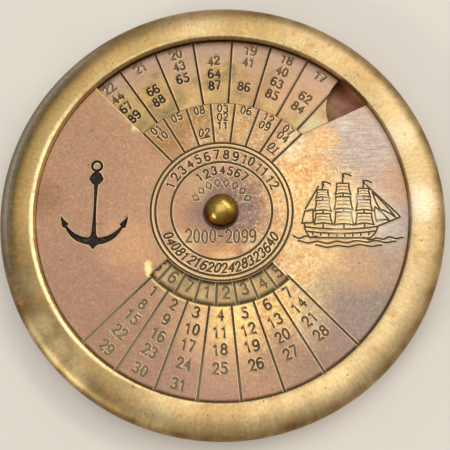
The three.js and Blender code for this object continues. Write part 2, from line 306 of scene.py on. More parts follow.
def weld(mesh):
    """Joins points that lie on each other and drops the faces that close up."""
    work = bmesh.new()
    work.from_mesh(mesh)
    bmesh.ops.remove_doubles(work, verts=work.verts, dist=1e-7)
    bmesh.ops.recalc_face_normals(work, faces=work.faces)
    work.to_mesh(mesh)
    work.free()


def laid_over(add, under, code, value, start, end, strength, **settings):
    """A colour laid over another as a value runs from start to end."""
    cover = add("MapRange", (value, start, end, 0.0, strength), **settings)
    return add("Mix", {0: cover, 6: under, 7: linear(code)}, data_type="RGBA")


def spotted(add, place, colour, spots):
    """A colour with soft round spots of other colours, their edges swirled by a noise."""
    swirl = add("TexNoise", {"Vector": place, "Scale": 0.22, "Detail": 7.0, "Roughness": 0.6}, "Color")
    centred = add("VectorMath", (swirl, (0.5, 0.5, 0.5)), operation="SUBTRACT")
    for x, y, radius, code, strength in spots:
        warped = add("VectorMath", (centred, (radius, radius, 0), place), operation="MULTIPLY_ADD")
        flat = add("VectorMath", (warped, (1, 1, 0)), operation="MULTIPLY")
        away = add("VectorMath", (flat, (x, y, 0)), operation="DISTANCE")
        colour = laid_over(
            add, colour, code, away, radius * 1.4, radius * 0.3, strength,
            interpolation_type="SMOOTHSTEP",
        )
    return colour


def pits(add, place, spacing, size, share):
    """A mask of round pits: 1 in a pit, with about one pit in a share of the cells."""
    away = add("TexVoronoi", {"Vector": place, "Scale": 1 / spacing, "Randomness": 1.0})
    chosen = add("Math", (away.node.outputs["Color"], share), operation="LESS_THAN")
    disc = add("MapRange", (away, size / spacing, 0.4 * size / spacing))
    return add("Math", (chosen, disc), operation="MULTIPLY")


def new_metal(name):
    """A new material, the function that adds its nodes, and places on its object in millimetres."""
    material = bpy.data.materials.new(name)
    add = node_adder(material)
    place = add("TexCoord", output="Object")
    return material, add, add("VectorMath", {0: place, 3: 1 / MM}, operation="SCALE")


def off_axis(add, mm):
    """How far places are from the dial's axis, as a vector and as a distance."""
    flat = add("VectorMath", (mm, (1, 1, 0)), operation="MULTIPLY")
    return flat, add("VectorMath", (flat,), operation="LENGTH")


def metal_shader(add, sockets):
    """Ends a material's nodes with a metal that has these values and links."""
    metal = add("BsdfPrincipled", {"Metallic": 1.0, **sockets})
    add("OutputMaterial", {"Surface": metal})


def brushed_antique_brass():
    """Antique brass: yellow metal with a brown film and painted shade that darken it towards the side,
    painted highlights and a painted reflected band, and brush marks across the rim that stretch the light
    along it."""
    material, add, mm = new_metal("brushed_antique_brass")
    flat, radius = off_axis(add, mm)
    ray = add("VectorMath", (flat,), operation="NORMALIZE")
    around = add("VectorMath", {0: ray, 3: CASE_RADIUS / BRUSH_SPACING}, operation="SCALE")
    across = add("CombineXYZ", {2: radius})
    along = add("VectorMath", {0: across, 3: 1 / BRUSH_LENGTH}, operation="SCALE")
    brush_place = add("VectorMath", (around, along), operation="ADD")
    brush = add("TexNoise", {"Vector": brush_place, "Scale": 1.0, "Detail": 3.0, "Roughness": 0.6})
    blotch = add("TexNoise", {"Vector": mm, "Scale": 0.2, "Detail": 6.0, "Roughness": 0.62})
    shifted = add("MapRange", (blotch, 0.35, 0.65, -0.8, 0.8))
    held = add("MapRange", (radius, LIP_RADIUS + LIP_SLOPE_WIDTH, LIP_RADIUS + 1.5))
    uneven = add("Math", (shifted, held, radius), operation="MULTIPLY_ADD")
    common, reflected_band = (
        add(
            "ValToRGB", (add("MapRange", (at, LIP_RADIUS, CASE_RADIUS)),),
            stops=[((r - LIP_RADIUS) / RIM_WIDTH, code) for r, code in tones],
        )
        for at, tones in ((uneven, RIM_TONES_AND_SHADE), (radius, REFLECTED_BAND_TONES))
    )
    towards_reflection, towards_lit = (
        add("VectorMath", (ray, (*polar(1, angle), 0)), operation="DOT_PRODUCT")
        for angle in (REFLECTED_BAND_ANGLE, LIT_LIP_ANGLE)
    )
    beyond = add("MapRange", (radius, LIP_RADIUS + 0.35, LIP_RADIUS + 0.7))
    # The film and the painted shade, kept off the lip's edge
    film = add("Mix", {
        0: beyond, 6: linear("#FFFFFF"), 7: spotted(add, mm, linear("#FFFFFF"), RIM_FILM_AND_SHADE),
    }, data_type="RGBA")
    filmed = add("VectorMath", (common, film), operation="MULTIPLY")
    reflected_share = add("MapRange", (towards_reflection, 0.78, 0.93, 0.0, 0.85))
    banded = add("Mix", {0: reflected_share, 6: filmed, 7: reflected_band}, data_type="RGBA")
    # Painted highlight on the lip's wall at the left
    at_lip = add("MapRange", (radius, LIT_LIP_RADIUS + 0.3, LIT_LIP_RADIUS, 0.0, 0.85))
    facing = add("MapRange", (towards_lit, 0.6, 0.85))
    lit = add("Math", (at_lip, facing), operation="MULTIPLY")
    lip_highlighted = add("Mix", {0: lit, 6: banded, 7: linear("#FFF2BC")}, data_type="RGBA")
    rust = add("TexNoise", {"Vector": mm, "Scale": 0.42, "Detail": 8.0, "Roughness": 0.7})
    warmed = laid_over(add, lip_highlighted, "#C08C50", rust, 0.52, 0.68, 0.6)
    highlighted = spotted(add, mm, warmed, RIM_HIGHLIGHTS)
    speck = add("TexNoise", {"Vector": mm, "Scale": 1.6, "Detail": 6.0, "Roughness": 0.72})
    streak = add("MapRange", (brush, 0.3, 0.7, 0.85, 1.12))
    cloud = add("MapRange", (speck, 0.36, 0.64, 0.84, 1.12))
    level = add("Math", (streak, cloud), operation="MULTIPLY")
    colour = add("VectorMath", {0: highlighted, 3: level}, operation="SCALE")
    holes = pits(add, mm, 1.1, 0.17, 0.3)
    marks = add("Bump", {"Strength": 0.6, "Distance": 0.02 * MM, "Height": brush})
    rough = add("Math", (speck, holes), operation="SUBTRACT")
    metal_shader(add, {
        "Base Color": add("Mix", {0: holes, 6: colour, 7: linear("#6A4E28")}, data_type="RGBA"),
        "Roughness": add("MapRange", (brush, 0.3, 0.7, 0.4, 0.52)),
        "Normal": add("Bump", {"Strength": 0.6, "Distance": 0.04 * MM, "Height": rough, "Normal": marks}),
        "Anisotropic": 0.2,
        "Tangent": add("Tangent", direction_type="RADIAL", axis="Z"),
    })
    return material


crest_radius = CASE_RADIUS - RIM_WIDTH * CREST_WIDTH_SHARE
crest_z = PLATE_TOP_MM + RIM_RISE
belt_z = PLATE_TOP_MM - BELT_DROP
lip_half_width = (LIP_RADIUS + LIP_SLOPE_WIDTH - crest_radius) / math.cos(math.radians(LIP_ROUND_END))
lip_half_height = (RIM_RISE - LIP_EDGE_RISE) / (1 - math.sin(math.radians(LIP_ROUND_END)))
back_bore = BORE_RADIUS + BACK_SEAT_WIDTH + PLATE_FIT
foot_radius = back_bore + FOOT_WIDTH
rim_profile = [
    (back_bore, 0.0),
    *elliptic(foot_radius, belt_z, CASE_RADIUS - foot_radius, belt_z, -90, 0, RIM_STEPS),
    *elliptic(crest_radius, belt_z, CASE_RADIUS - crest_radius, crest_z - belt_z, 0, 90, RIM_STEPS)[1:],
    *elliptic(
        crest_radius, crest_z - lip_half_height, lip_half_width, lip_half_height,
        90, LIP_ROUND_END, RIM_STEPS,
    )[1:],
    (LIP_RADIUS, PLATE_TOP_MM + LIP_LAND),
    (LIP_RADIUS, PLATE_TOP_MM),
    (BORE_RADIUS, PLATE_TOP_MM),
    (BORE_RADIUS, BACK_TOP),
    (back_bore, BACK_TOP),
    (back_bore, 0.0),
]
new_piece(
    turned("case_rim_brushed", rim_profile, RIM_SEGMENTS, RIM_NICKS),
    brushed_antique_brass(), "case", "case_rim",
)


# Dial plate: brass sheet with a copper tone, pushed up against the lip from behind. Its rings, lines
# and figures are engraved and hold dark wax, the anchor is sunk deeper and a ship is engraved.
PLATE_RADIUS = BORE_RADIUS - PLATE_FIT
PLATE_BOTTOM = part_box("dial_plate")[0].z / MM
PLATE_CHAMFER = 0.18
DIVISIONS = 28
DIVISION_ANGLE = 360 / DIVISIONS
YEAR_WINDOW_RADIUS = 19.7
YEAR_WINDOW_RIGHT = 45
YEAR_WINDOW_LEFT = 135
FINGER_EDGE_SLOPE = 26
DAY_WINDOW_INNER = 12.35
DAY_WINDOW_OUTER = 16.4
DAY_WINDOW_START = 223.5
DAY_WINDOW_END = 314.3
RIVET_HOLE_RADIUS = 1.6
RING_RADII = [8.65, 11.35, 12.15]
FIELD_LINES = 8
MONTH_LINES_START = 45
DATE_LINES_START = 225
PUNCH_WIDTH = 0.42
PUNCH_DEPTH = 0.09
RULE_WIDTH = 0.42
RULE_DEPTH = 0.12
BURR_WIDTH = 0.2
BURR_HEIGHT = 0.06
# Burr slopes that face this way get little of the burrs' painted highlight
BURR_SHADED_SIDE = (0.8, 0.6, 0.0)
ROUND_STEPS = 360
RING_STEPS = 180
HOLE_STEPS = 48
LINE_OVERRUN = 0.5
# Width and depth of the cuts in millimetres
MONTH_CUT = (0.3, 0.1)
BAND_CUT = (0.36, 0.11)
SPAN_CUT = (0.36, 0.08)
LOZENGE_CUT = (0.34, 0.06)
CAP_ANGLES = (45, 0, -45)
DATE_HEIGHT = 1.7
DATE_ROW_RADII = [17.9, 20.7, 23.5, 26.5, 29.8]
MONTH_HEIGHT = 1.35
MONTH_ROW_RADII = [18.6, 17.0, 15.4]
LEAP_MONTH_RADIUS = 14.4
UNDERLINE_DROP = 0.95
# Months by column from the right; the last is the column's month in a leap year, or none
MONTHS = [(7, 4, 0, 1), (12, 9), (6,), (3, 2, 11), (8, 0, 0, 2), (5,), (1, 10)]
LEAP_ROW = 3
LEAP_CYCLE = 4
LEAP_YEARS_END = 44
WEEK_DAYS = 7
LONGEST_MONTH = 31
SPAN_HEIGHT = 2.2
SPAN_SQUEEZE = 0.79
SPAN_CENTRE = (-0.1, -4.5)
BAND_RADIUS = 10.0
BAND_HEIGHT = 1.55
BAND_HALF_SPAN = 66
ITALIC = 0.25
INNER_ARC_RADIUS = 7.15
INNER_ARC_HALF_SPAN = 37
INNER_ARC_HEIGHT = 1.45
LOZENGE_RADIUS = 4.95
LOZENGE_COUNT = 8
LOZENGE_HALF_SPAN = 64
LOZENGE_HEIGHT = 1.55
LOZENGE_WIDTH = 1.0

# A groove or pocket cut into a sheet: filled is for pockets, whose line is their outline
Cut = collections.namedtuple("Cut", "line closed filled half_width wall depth")

# Figures as single strokes in a box 0.6 wide and 1 high; True marks a stroke that closes on itself
SIX = [
    (elliptic(0.34, 0.6, 0.31, 0.4, 60, 180, 5) + [(0.03, 0.3)], False),
    (elliptic(0.3, 0.3, 0.27, 0.3, 0, 360, 12)[:-1], True),
]
FIGURES = {
    "0": [(elliptic(0.3, 0.5, 0.26, 0.5, 0, 360, 14)[:-1], True)],
    "1": [([(0.12, 0.78), (0.34, 1.0), (0.34, 0.0)], False)],
    "2": [(elliptic(0.3, 0.71, 0.26, 0.29, 165, -30, 7) + [(0.03, 0.0), (0.58, 0.0)], False)],
    "3": [(
        elliptic(0.28, 0.75, 0.24, 0.25, 150, -80, 7) + elliptic(0.28, 0.26, 0.28, 0.26, 70, -150, 8),
        False,
    )],
    "4": [([(0.46, 0.0), (0.46, 1.0), (0.02, 0.3), (0.6, 0.3)], False)],
    "5": [([(0.54, 1.0), (0.14, 1.0)] + elliptic(0.29, 0.32, 0.29, 0.32, 128, -145, 9), False)],
    "6": SIX,
    "7": [([(0.03, 1.0), (0.58, 1.0), (0.22, 0.0)], False)],
    "8": [
        (elliptic(0.3, 0.76, 0.22, 0.24, 0, 360, 10)[:-1], True),
        (elliptic(0.3, 0.27, 0.27, 0.27, 0, 360, 12)[:-1], True),
    ],
    "9": [([(0.6 - x, 1 - y) for x, y in line], closed) for line, closed in SIX],
    "-": [([(0.08, 0.46), (0.52, 0.46)], False)],
}
FIGURE_WIDTH = 0.6
FIGURE_PITCH = 0.78
HAND_TURN = 1.5
HAND_LIFT = 0.035
hand = np.random.default_rng(12)


def direction(vector):
    """Where a vector points, in degrees."""
    return math.degrees(math.atan2(vector[1], vector[0]))


def circle(radius, steps=ROUND_STEPS, centre=(0.0, 0.0)):
    angles = np.arange(steps) * 2 * np.pi / steps
    return np.column_stack([centre[0] + radius * np.cos(angles), centre[1] + radius * np.sin(angles)])


def figures(text, centre, height, turn, slant=0.0, squeeze=1.0):
    """A number's strokes, centred on a point, each figure a little off as if struck by hand;
    turn is the direction of reading in degrees."""
    placed = []
    for place, figure in enumerate(text):
        reading, upward = (polar(1, turn + hand.normal(0, HAND_TURN) + side) for side in (0, 90))
        start = (place - (len(text) - 1) / 2) * FIGURE_PITCH - FIGURE_WIDTH / 2
        lift = hand.normal(0, HAND_LIFT)
        for line, closed in FIGURES[figure]:
            line = np.array(line)
            y = line[:, 1] - 0.5 + lift
            x = squeeze * (start + line[:, 0]) + slant * y
            points = np.array(centre) + height * (x[:, None] * reading + y[:, None] * upward)
            placed.append((points, closed))
    return placed


def figures_round(texts, radius, middle, half_span, height, slant=0.0):
    """Numbers on an arc with even gaps, read from left to right: upright over it or under it."""
    side = 1 if middle == 90 else -1
    widths = [height * (FIGURE_WIDTH + FIGURE_PITCH * (len(text) - 1)) for text in texts]
    length = 2 * math.radians(half_span) * radius
    gap = (length - sum(widths)) / (len(texts) - 1)
    placed, reached = [], -length / 2
    for text, width in zip(texts, widths):
        angle = middle - side * math.degrees((reached + width / 2) / radius)
        placed += figures(text, polar(radius, angle), height, angle - side * 90, slant)
        reached += width + gap
    return placed


def struck(strokes, width=PUNCH_WIDTH, depth=PUNCH_DEPTH):
    """Strokes cut as grooves with sloping walls."""
    return [Cut(np.array(line), closed, False, width / 2, width / 4, depth) for line, closed in strokes]


def parallel(line, closed, distance):
    """A line moved to its left by a distance, with mitred corners."""
    before = line - np.roll(line, 1, axis=0)
    after = np.roll(line, -1, axis=0) - line
    if not closed:
        before[0] = after[0]
        after[-1] = before[-1]
    before /= np.linalg.norm(before, axis=1)[:, None]
    after /= np.linalg.norm(after, axis=1)[:, None]
    normal = np.stack([-(before + after)[:, 1], (before + after)[:, 0]], axis=1)
    normal /= np.maximum(np.linalg.norm(normal, axis=1), 1e-9)[:, None]
    square = np.stack([-after[:, 1], after[:, 0]], axis=1)
    mitre = np.maximum(np.sum(normal * square, axis=1), 0.5)
    return line + normal * (distance / mitre)[:, None]


def loops_beside(cut, distance):
    """Closed loops at a distance from a cut's line."""
    if cut.filled:
        return [parallel(cut.line, True, -distance)]
    if cut.closed:
        return [parallel(cut.line, True, distance), parallel(cut.line, True, -distance)]
    left, right = (parallel(cut.line, False, side * distance) for side in (1, -1))
    ends = []
    for tip, inner in ((cut.line[-1], cut.line[-2]), (cut.line[0], cut.line[1])):
        ends.append([tip + polar(distance, direction(tip - inner) + angle) for angle in CAP_ANGLES])
    return [np.vstack([left, ends[0], right[::-1], ends[1]])]


def distance_to(points, line):
    """Least distance from points to a chain of straight segments."""
    start, step = line[:-1], line[1:] - line[:-1]
    away = points[:, None] - start[None]
    share = np.clip(np.sum(away * step, axis=2) / np.sum(step * step, axis=1), 0, 1)
    return np.min(np.linalg.norm(away - share[..., None] * step, axis=2), axis=1)


def within(points, loop):
    """True for points inside a closed loop."""
    x, y = points[:, 0][:, None], points[:, 1][:, None]
    a, b = loop, np.roll(loop, -1, axis=0)
    crosses = (a[:, 1] > y) != (b[:, 1] > y)
    with np.errstate(divide="ignore", invalid="ignore"):
        reach = a[:, 0] + (y - a[:, 1]) * (b[:, 0] - a[:, 0]) / (b[:, 1] - a[:, 1])
    return np.sum(crosses & (x < reach), axis=1) % 2 == 1


def relief(points, cuts):
    """Height of the surface at points, from the cuts; raised burrs stand along their edges."""
    lowest, highest = np.zeros(len(points)), np.zeros(len(points))
    for cut in cuts:
        reach = cut.half_width + BURR_WIDTH
        low, high = cut.line.min(axis=0) - reach, cut.line.max(axis=0) + reach
        near = np.all((points > low) & (points < high), axis=1)
        if not near.any():
            continue
        line = np.vstack([cut.line, cut.line[:1]]) if cut.closed else cut.line
        beside = distance_to(points[near], line) - cut.half_width
        if cut.filled:
            beside = np.where(within(points[near], cut.line), -beside, beside)
        height = np.interp(beside, [-cut.wall, 0, BURR_WIDTH], [-cut.depth, BURR_HEIGHT, 0])
        lowest[near] = np.minimum(lowest[near], height)
        highest[near] = np.maximum(highest[near], height)
    return np.where(lowest < 0, lowest, highest)


def triangles(points, edges, outer, holes):
    """Anticlockwise triangles between fixed edges, inside one loop and outside the others."""
    result = geometry.delaunay_2d_cdt([Vector(p) for p in points], edges, [], 0, 1e-7)
    places = np.array([tuple(v) for v in result[0]])
    faces = np.array([f for f in result[2] if len(f) == 3])
    a, b, c = (places[faces[:, i]] for i in range(3))
    area = (b[:, 0] - a[:, 0]) * (c[:, 1] - a[:, 1]) - (c[:, 0] - a[:, 0]) * (b[:, 1] - a[:, 1])
    faces[area < 0] = faces[area < 0][:, ::-1]
    centres = (a + b + c) / 3
    kept = within(centres, outer)
    for hole in holes:
        kept &= ~within(centres, hole)
    return places, faces[kept], result[3]


def engraved_sheet(name, outer, holes, cuts, top, bottom, chamfer):
    """A sheet with an outline and holes, its upper face engraved, as one closed mesh."""
    loops = [
        loop for cut in cuts for shift in (-cut.wall, 0, BURR_WIDTH)
        for loop in loops_beside(cut, cut.half_width + shift)
    ]
    for outline in (outer, *holes):
        loops += [outline, parallel(outline, True, chamfer), parallel(outline, True, -chamfer)]
    lines, first = [], 0
    for loop in loops:
        count = len(loop)
        lines += [(first + i, first + (i + 1) % count) for i in range(count)]
        first += count
    places, faces, _ = triangles(np.vstack(loops), lines, outer, holes)
    used, faces = np.unique(faces, return_inverse=True)
    faces = faces.reshape(-1, 3)
    places = places[used]
    height = relief(places, cuts)
    inset = np.min([distance_to(places, np.vstack([o, o[:1]])) for o in (outer, *holes)], axis=0)
    bevel = np.interp(inset, [0, chamfer], [-chamfer, 0])
    level = top + np.minimum(height, bevel + np.maximum(height, 0))
    sides = np.vstack([faces[:, [0, 1]], faces[:, [1, 2]], faces[:, [2, 0]]]).tolist()
    known = {tuple(side) for side in sides}
    border = [(a, b) for a, b in sides if (b, a) not in known]
    ring = sorted({a for a, b in border})
    order = {a: i for i, a in enumerate(ring)}
    low = {a: len(places) + i for a, i in order.items()}
    walls = [(b, a, low[a], low[b]) for a, b in border]
    _, lower, sources = triangles(places[ring], [(order[a], order[b]) for a, b in border], outer, holes)
    underside = [tuple(len(places) + sources[i][0] for i in face[::-1]) for face in lower]
    vertices = np.vstack([
        np.column_stack([places, level]),
        np.column_stack([places[ring], np.full(len(ring), bottom)]),
    ])
    mesh = bpy.data.meshes.new(name)
    mesh.from_pydata((vertices * MM).tolist(), [], faces.tolist() + walls + underside)
    # The outline's chamfered edges are marked like burrs, to take their rubbed colour and painted highlight
    rubbed = np.interp(inset, [0, chamfer], [BURR_HEIGHT, 0])
    marks = np.where(height < 0, height, np.maximum(height, rubbed))
    relief_values = np.concatenate([marks, np.zeros(len(ring))]).astype(np.float32)
    mesh.attributes.new("relief", "FLOAT", "POINT").data.foreach_set("value", relief_values)
    return mesh


def arc_points(radius, start, end):
    steps = max(4, int(abs(end - start)))
    return [polar(radius, angle) for angle in np.linspace(start, end, steps + 1)]


def plate_outline():
    """Round sheet, with the year window open to its edge and slanted for the finger on the right."""
    corner, heading = polar(YEAR_WINDOW_RADIUS, YEAR_WINDOW_RIGHT), polar(1, FINGER_EDGE_SLOPE)
    along = corner @ heading
    run = math.sqrt(along ** 2 + PLATE_RADIUS ** 2 - corner @ corner) - along
    edge = arc_points(PLATE_RADIUS, YEAR_WINDOW_LEFT, direction(corner + run * heading) + 360)
    return np.array(edge + arc_points(YEAR_WINDOW_RADIUS, YEAR_WINDOW_RIGHT, YEAR_WINDOW_LEFT))


def day_window():
    inner = arc_points(DAY_WINDOW_INNER, DAY_WINDOW_START, DAY_WINDOW_END)
    outer = arc_points(DAY_WINDOW_OUTER, DAY_WINDOW_START, DAY_WINDOW_END)
    return np.array(outer + inner[::-1])


def lines_of_field(start, inner, outer):
    rays = [start + line * DIVISION_ANGLE for line in range(FIELD_LINES)]
    return [([polar(inner, ray), polar(outer, ray)], False) for ray in rays]


rules = [(circle(radius, RING_STEPS), True) for radius in RING_RADII]
rules += lines_of_field(MONTH_LINES_START, RING_RADII[2], YEAR_WINDOW_RADIUS + LINE_OVERRUN)
rules += lines_of_field(DATE_LINES_START, DAY_WINDOW_OUTER - LINE_OVERRUN, PLATE_RADIUS + LINE_OVERRUN)

dates = []
for day in range(LONGEST_MONTH):
    row, cell = divmod(day, WEEK_DAYS)
    ray = DATE_LINES_START + (cell + 0.5) * DIVISION_ANGLE
    dates += figures(str(day + 1), polar(DATE_ROW_RADII[row], ray), DATE_HEIGHT, ray + 90)

months = []
for cell, numbers in enumerate(MONTHS):
    ray = MONTH_LINES_START + (cell + 0.5) * DIVISION_ANGLE
    for row, month in enumerate(numbers):
        leap = row == LEAP_ROW
        radius = LEAP_MONTH_RADIUS if leap else MONTH_ROW_RADII[row]
        if month:
            slant = ITALIC if leap else 0.0
            months += figures(f"{month:02d}", polar(radius, ray), MONTH_HEIGHT, ray - 90, slant)
        if leap:
            middle = polar(radius - UNDERLINE_DROP, ray)
            side = polar(MONTH_HEIGHT * FIGURE_WIDTH, ray - 90)
            months.append(([middle - side, middle + side], False))

band = figures_round([str(n) for n in range(1, 13)], BAND_RADIUS, 90, BAND_HALF_SPAN, BAND_HEIGHT)
leap_years = [f"{n:02d}" for n in range(LEAP_CYCLE, LEAP_YEARS_END, LEAP_CYCLE)]
band += figures_round(leap_years, BAND_RADIUS, 270, BAND_HALF_SPAN, BAND_HEIGHT, ITALIC)
band += figures_round("1234567", INNER_ARC_RADIUS, 90, INNER_ARC_HALF_SPAN, INNER_ARC_HEIGHT)
span = figures("2000-2099", SPAN_CENTRE, SPAN_HEIGHT, 0, 0.0, SPAN_SQUEEZE)

lozenges = []
for place in range(LOZENGE_COUNT):
    ray = 90 + LOZENGE_HALF_SPAN * (1 - 2 * place / (LOZENGE_COUNT - 1))
    middle = polar(LOZENGE_RADIUS, ray)
    tall, wide = polar(LOZENGE_HEIGHT / 2, ray), polar(LOZENGE_WIDTH / 2, ray + 90)
    lozenges.append(([middle + tall, middle + wide, middle - tall, middle - wide], True))

# Anchor: half widths from the shank's axis and heights, in millimetres; pairs are curves
ANCHOR_EDGE_GAP = 4.85
ANCHOR_DEPTH = 0.4
ANCHOR_WALL = 0.05
ANCHOR_CROWN_TIP = -7.0
ANCHOR_HALF_WIDTH = 5.8
ANCHOR_SIDE = [
    [(0.75, -6.2)],
    [(3.65, -5.9), (4.9, -3.3)],
    [(5.4, -3.2)],
    [(5.75, -2.2), (ANCHOR_HALF_WIDTH, -1.05)],
    [(5.1, -1.95), (4.3, -2.55)],
    [(4.6, -2.95)],
    [(3.0, -4.75), (1.0, -4.9)],
    [(0.5, -4.8), (0.45, -4.0)],
    [(0.08, 0.5), (0.38, 4.35)],
    [(0.95, 4.75), (1.28, 5.45)],
    [(1.0, 6.35), (0.3, 6.85)],
]
ANCHOR_CURVE_STEPS = 8
SHACKLE_Y = 7.8
SHACKLE_RADII = (0.625, 1.075)
SHACKLE_STEPS = 28


def anchor_side():
    points = [np.array([0.0, ANCHOR_CROWN_TIP])]
    for group in ANCHOR_SIDE:
        start, stops = points[-1], [np.array(p) for p in group]
        if len(stops) == 1:
            points.append(stops[0])
            continue
        for t in np.arange(1, ANCHOR_CURVE_STEPS + 1) / ANCHOR_CURVE_STEPS:
            points.append((1 - t) ** 2 * start + 2 * t * (1 - t) * stops[0] + t * t * stops[1])
    return np.array(points)


right_side = anchor_side()
left_side = (right_side[1:] * (-1, 1))[::-1]
anchor_x = ANCHOR_EDGE_GAP + ANCHOR_HALF_WIDTH - PLATE_RADIUS
anchor_line = np.vstack([right_side, left_side]) + (anchor_x, 0)
shackle_half = (SHACKLE_RADII[1] - SHACKLE_RADII[0]) / 2
shackle_line = circle(sum(SHACKLE_RADII) / 2, SHACKLE_STEPS, (anchor_x, SHACKLE_Y))
anchor = [
    Cut(anchor_line, True, True, 0.0, ANCHOR_WALL, ANCHOR_DEPTH),
    Cut(shackle_line, True, False, shackle_half, ANCHOR_WALL, ANCHOR_DEPTH),
]

# Ship under full sail, heading right: millimetres on the dial
SHIP_CUT = (0.34, 0.12)
REEF_CUT = (0.2, 0.06)
WATER_LINE = -4.7
DECK_Y = -2.9
MASTS = [
    # foot x, top height, sails from below: height of the foot, height, half width
    (17.3, 5.1, [(-2.4, 1.9, 1.6), (-0.1, 1.9, 1.45), (2.2, 1.5, 1.2)]),
    (20.8, 6.6, [(-2.5, 2.3, 1.72), (0.2, 2.3, 1.62), (2.9, 2.0, 1.35)]),
    (24.3, 5.4, [(-2.4, 2.0, 1.6), (0.0, 2.0, 1.45), (2.4, 1.6, 1.2)]),
]
SAIL_HEAD_SHARE = 0.78
MAST_GAP = 0.2
# How far the sides of an outline are bowed, and in how many steps
SAIL_SIDES = [(0.25, 5), (0.12, 4), (0.0, 1), (0.12, 4)]
JIB_SIDES = [(0.1, 4), (-0.15, 3), (0.12, 4)]
HULL_SIDES = [(-0.45, 10), (0.25, 4), (0.0, 1), (0.0, 1), (0.0, 1)]
REEF_BOW = (0.12, 4)
PENNANT_BOW = (0.15, 4)
# Ends of a pennant's two edges, from the top of its mast
PENNANT_ENDS = [(1.4, -0.35), (0.25, -0.6)]
JIBS = [
    [(25.8, 3.4), (29.6, -1.0), (27.0, 0.3)],
    [(26.1, 0.8), (28.5, -1.6), (26.3, -1.7)],
]
SPANKER = [(15.6, 0.2), (14.2, -0.1), (13.6, -2.2), (15.6, -2.1)]
HULL = [(14.0, -2.8), (26.5, -2.7), (25.1, WATER_LINE), (15.0, WATER_LINE), (14.5, -3.9)]
WALE = [(14.4, -3.6), (26.1, -3.5)]
WALE_BOW = (-0.4, 10)
SPARS = [
    [(16.6, 4.3), (14.3, 0.3)],
    [(24.8, 4.6), (28.6, 0.9), (30.4, -1.0)],
    [(26.4, -2.7), (30.2, -1.1)],
    [(14.0, -2.2), (14.3, DECK_Y)],
]
WAVES = [
    # left, right, height, crests
    (12.2, 16.2, -4.6, 2),
    (24.0, 30.6, -4.75, 3),
    (13.0, 29.4, -5.4, 5),
    (16.0, 27.0, -6.1, 3),
]
WAVE_HEIGHT = 0.16
WAVE_STEPS = 6
SWELL_HEIGHT = 0.12
GUN_PORTS = 8
GUN_PORT_START = 15.5
GUN_PORT_SPACING = 1.35
GUN_PORT_TOP = -3.75
GUN_PORT_LOW = -4.0
GUN_ROW_MIDDLE = 20.2
GUN_ROW_HALF = 6
GUN_ROW_SAG = 0.4
REEF_SHARES = (0.38, 0.68)
REEF_HALF_SHARE = 0.62


def bowed(start, end, bow, steps):
    """A line between two points, bowed to its left by a distance."""
    start, end = np.array(start, float), np.array(end, float)
    along = end - start
    side = np.array([-along[1], along[0]]) / np.linalg.norm(along)
    shares = np.linspace(0, 1, steps + 1)[:, None]
    return list(start + shares * along + 4 * bow * shares * (1 - shares) * side)


def bowed_outline(corners, sides):
    """A closed stroke through corners, with a bow for each side."""
    after = corners[1:] + corners[:1]
    return [p for start, end, side in zip(corners, after, sides) for p in bowed(start, end, *side)[:-1]], True


def ship_lines():
    lines = []
    for x, top, sails in MASTS:
        reached = DECK_Y
        for low, tall, half in sails:
            head, high = half * SAIL_HEAD_SHARE, low + tall
            lines.append(([(x, reached), (x, low + MAST_GAP)], False))
            corners = [(x - half, low), (x + half, low), (x + head, high), (x - head, high)]
            lines.append(bowed_outline(corners, SAIL_SIDES))
            reached = high
        lines.append(([(x, reached), (x, top - MAST_GAP)], False))
        fly, hoist = (np.add((x, top), end) for end in PENNANT_ENDS)
        lines.append((bowed((x, top), fly, *PENNANT_BOW), False))
        lines.append(([(x, top), hoist], False))
    lines += [bowed_outline(jib, JIB_SIDES) for jib in JIBS]
    lines.append((SPANKER, True))
    lines += [(spar, False) for spar in SPARS]
    lines.append(bowed_outline(HULL, HULL_SIDES))
    lines.append((bowed(*WALE, *WALE_BOW), False))
    for port in range(GUN_PORTS):
        x = GUN_PORT_START + port * GUN_PORT_SPACING
        sag = GUN_ROW_SAG * (1 - ((x - GUN_ROW_MIDDLE) / GUN_ROW_HALF) ** 2)
        lines.append(([(x, GUN_PORT_TOP - sag), (x, GUN_PORT_LOW - sag)], False))
    for left, right, height, crests in WAVES:
        xs = np.linspace(left, right, crests * WAVE_STEPS + 1)
        turns = (xs - left) / (right - left) * 2 * np.pi
        waves = height + WAVE_HEIGHT * np.cos(turns * crests) - SWELL_HEIGHT * np.sin(turns)
        lines.append((np.column_stack([xs, waves]), False))
    return lines


reefs = []
for x, top, sails in MASTS:
    for low, tall, half in sails:
        for share in REEF_SHARES:
            left, right = x - REEF_HALF_SHARE * half, x + REEF_HALF_SHARE * half
            reef_y = low + share * tall
            reefs.append((bowed((left, reef_y), (right, reef_y), *REEF_BOW), False))
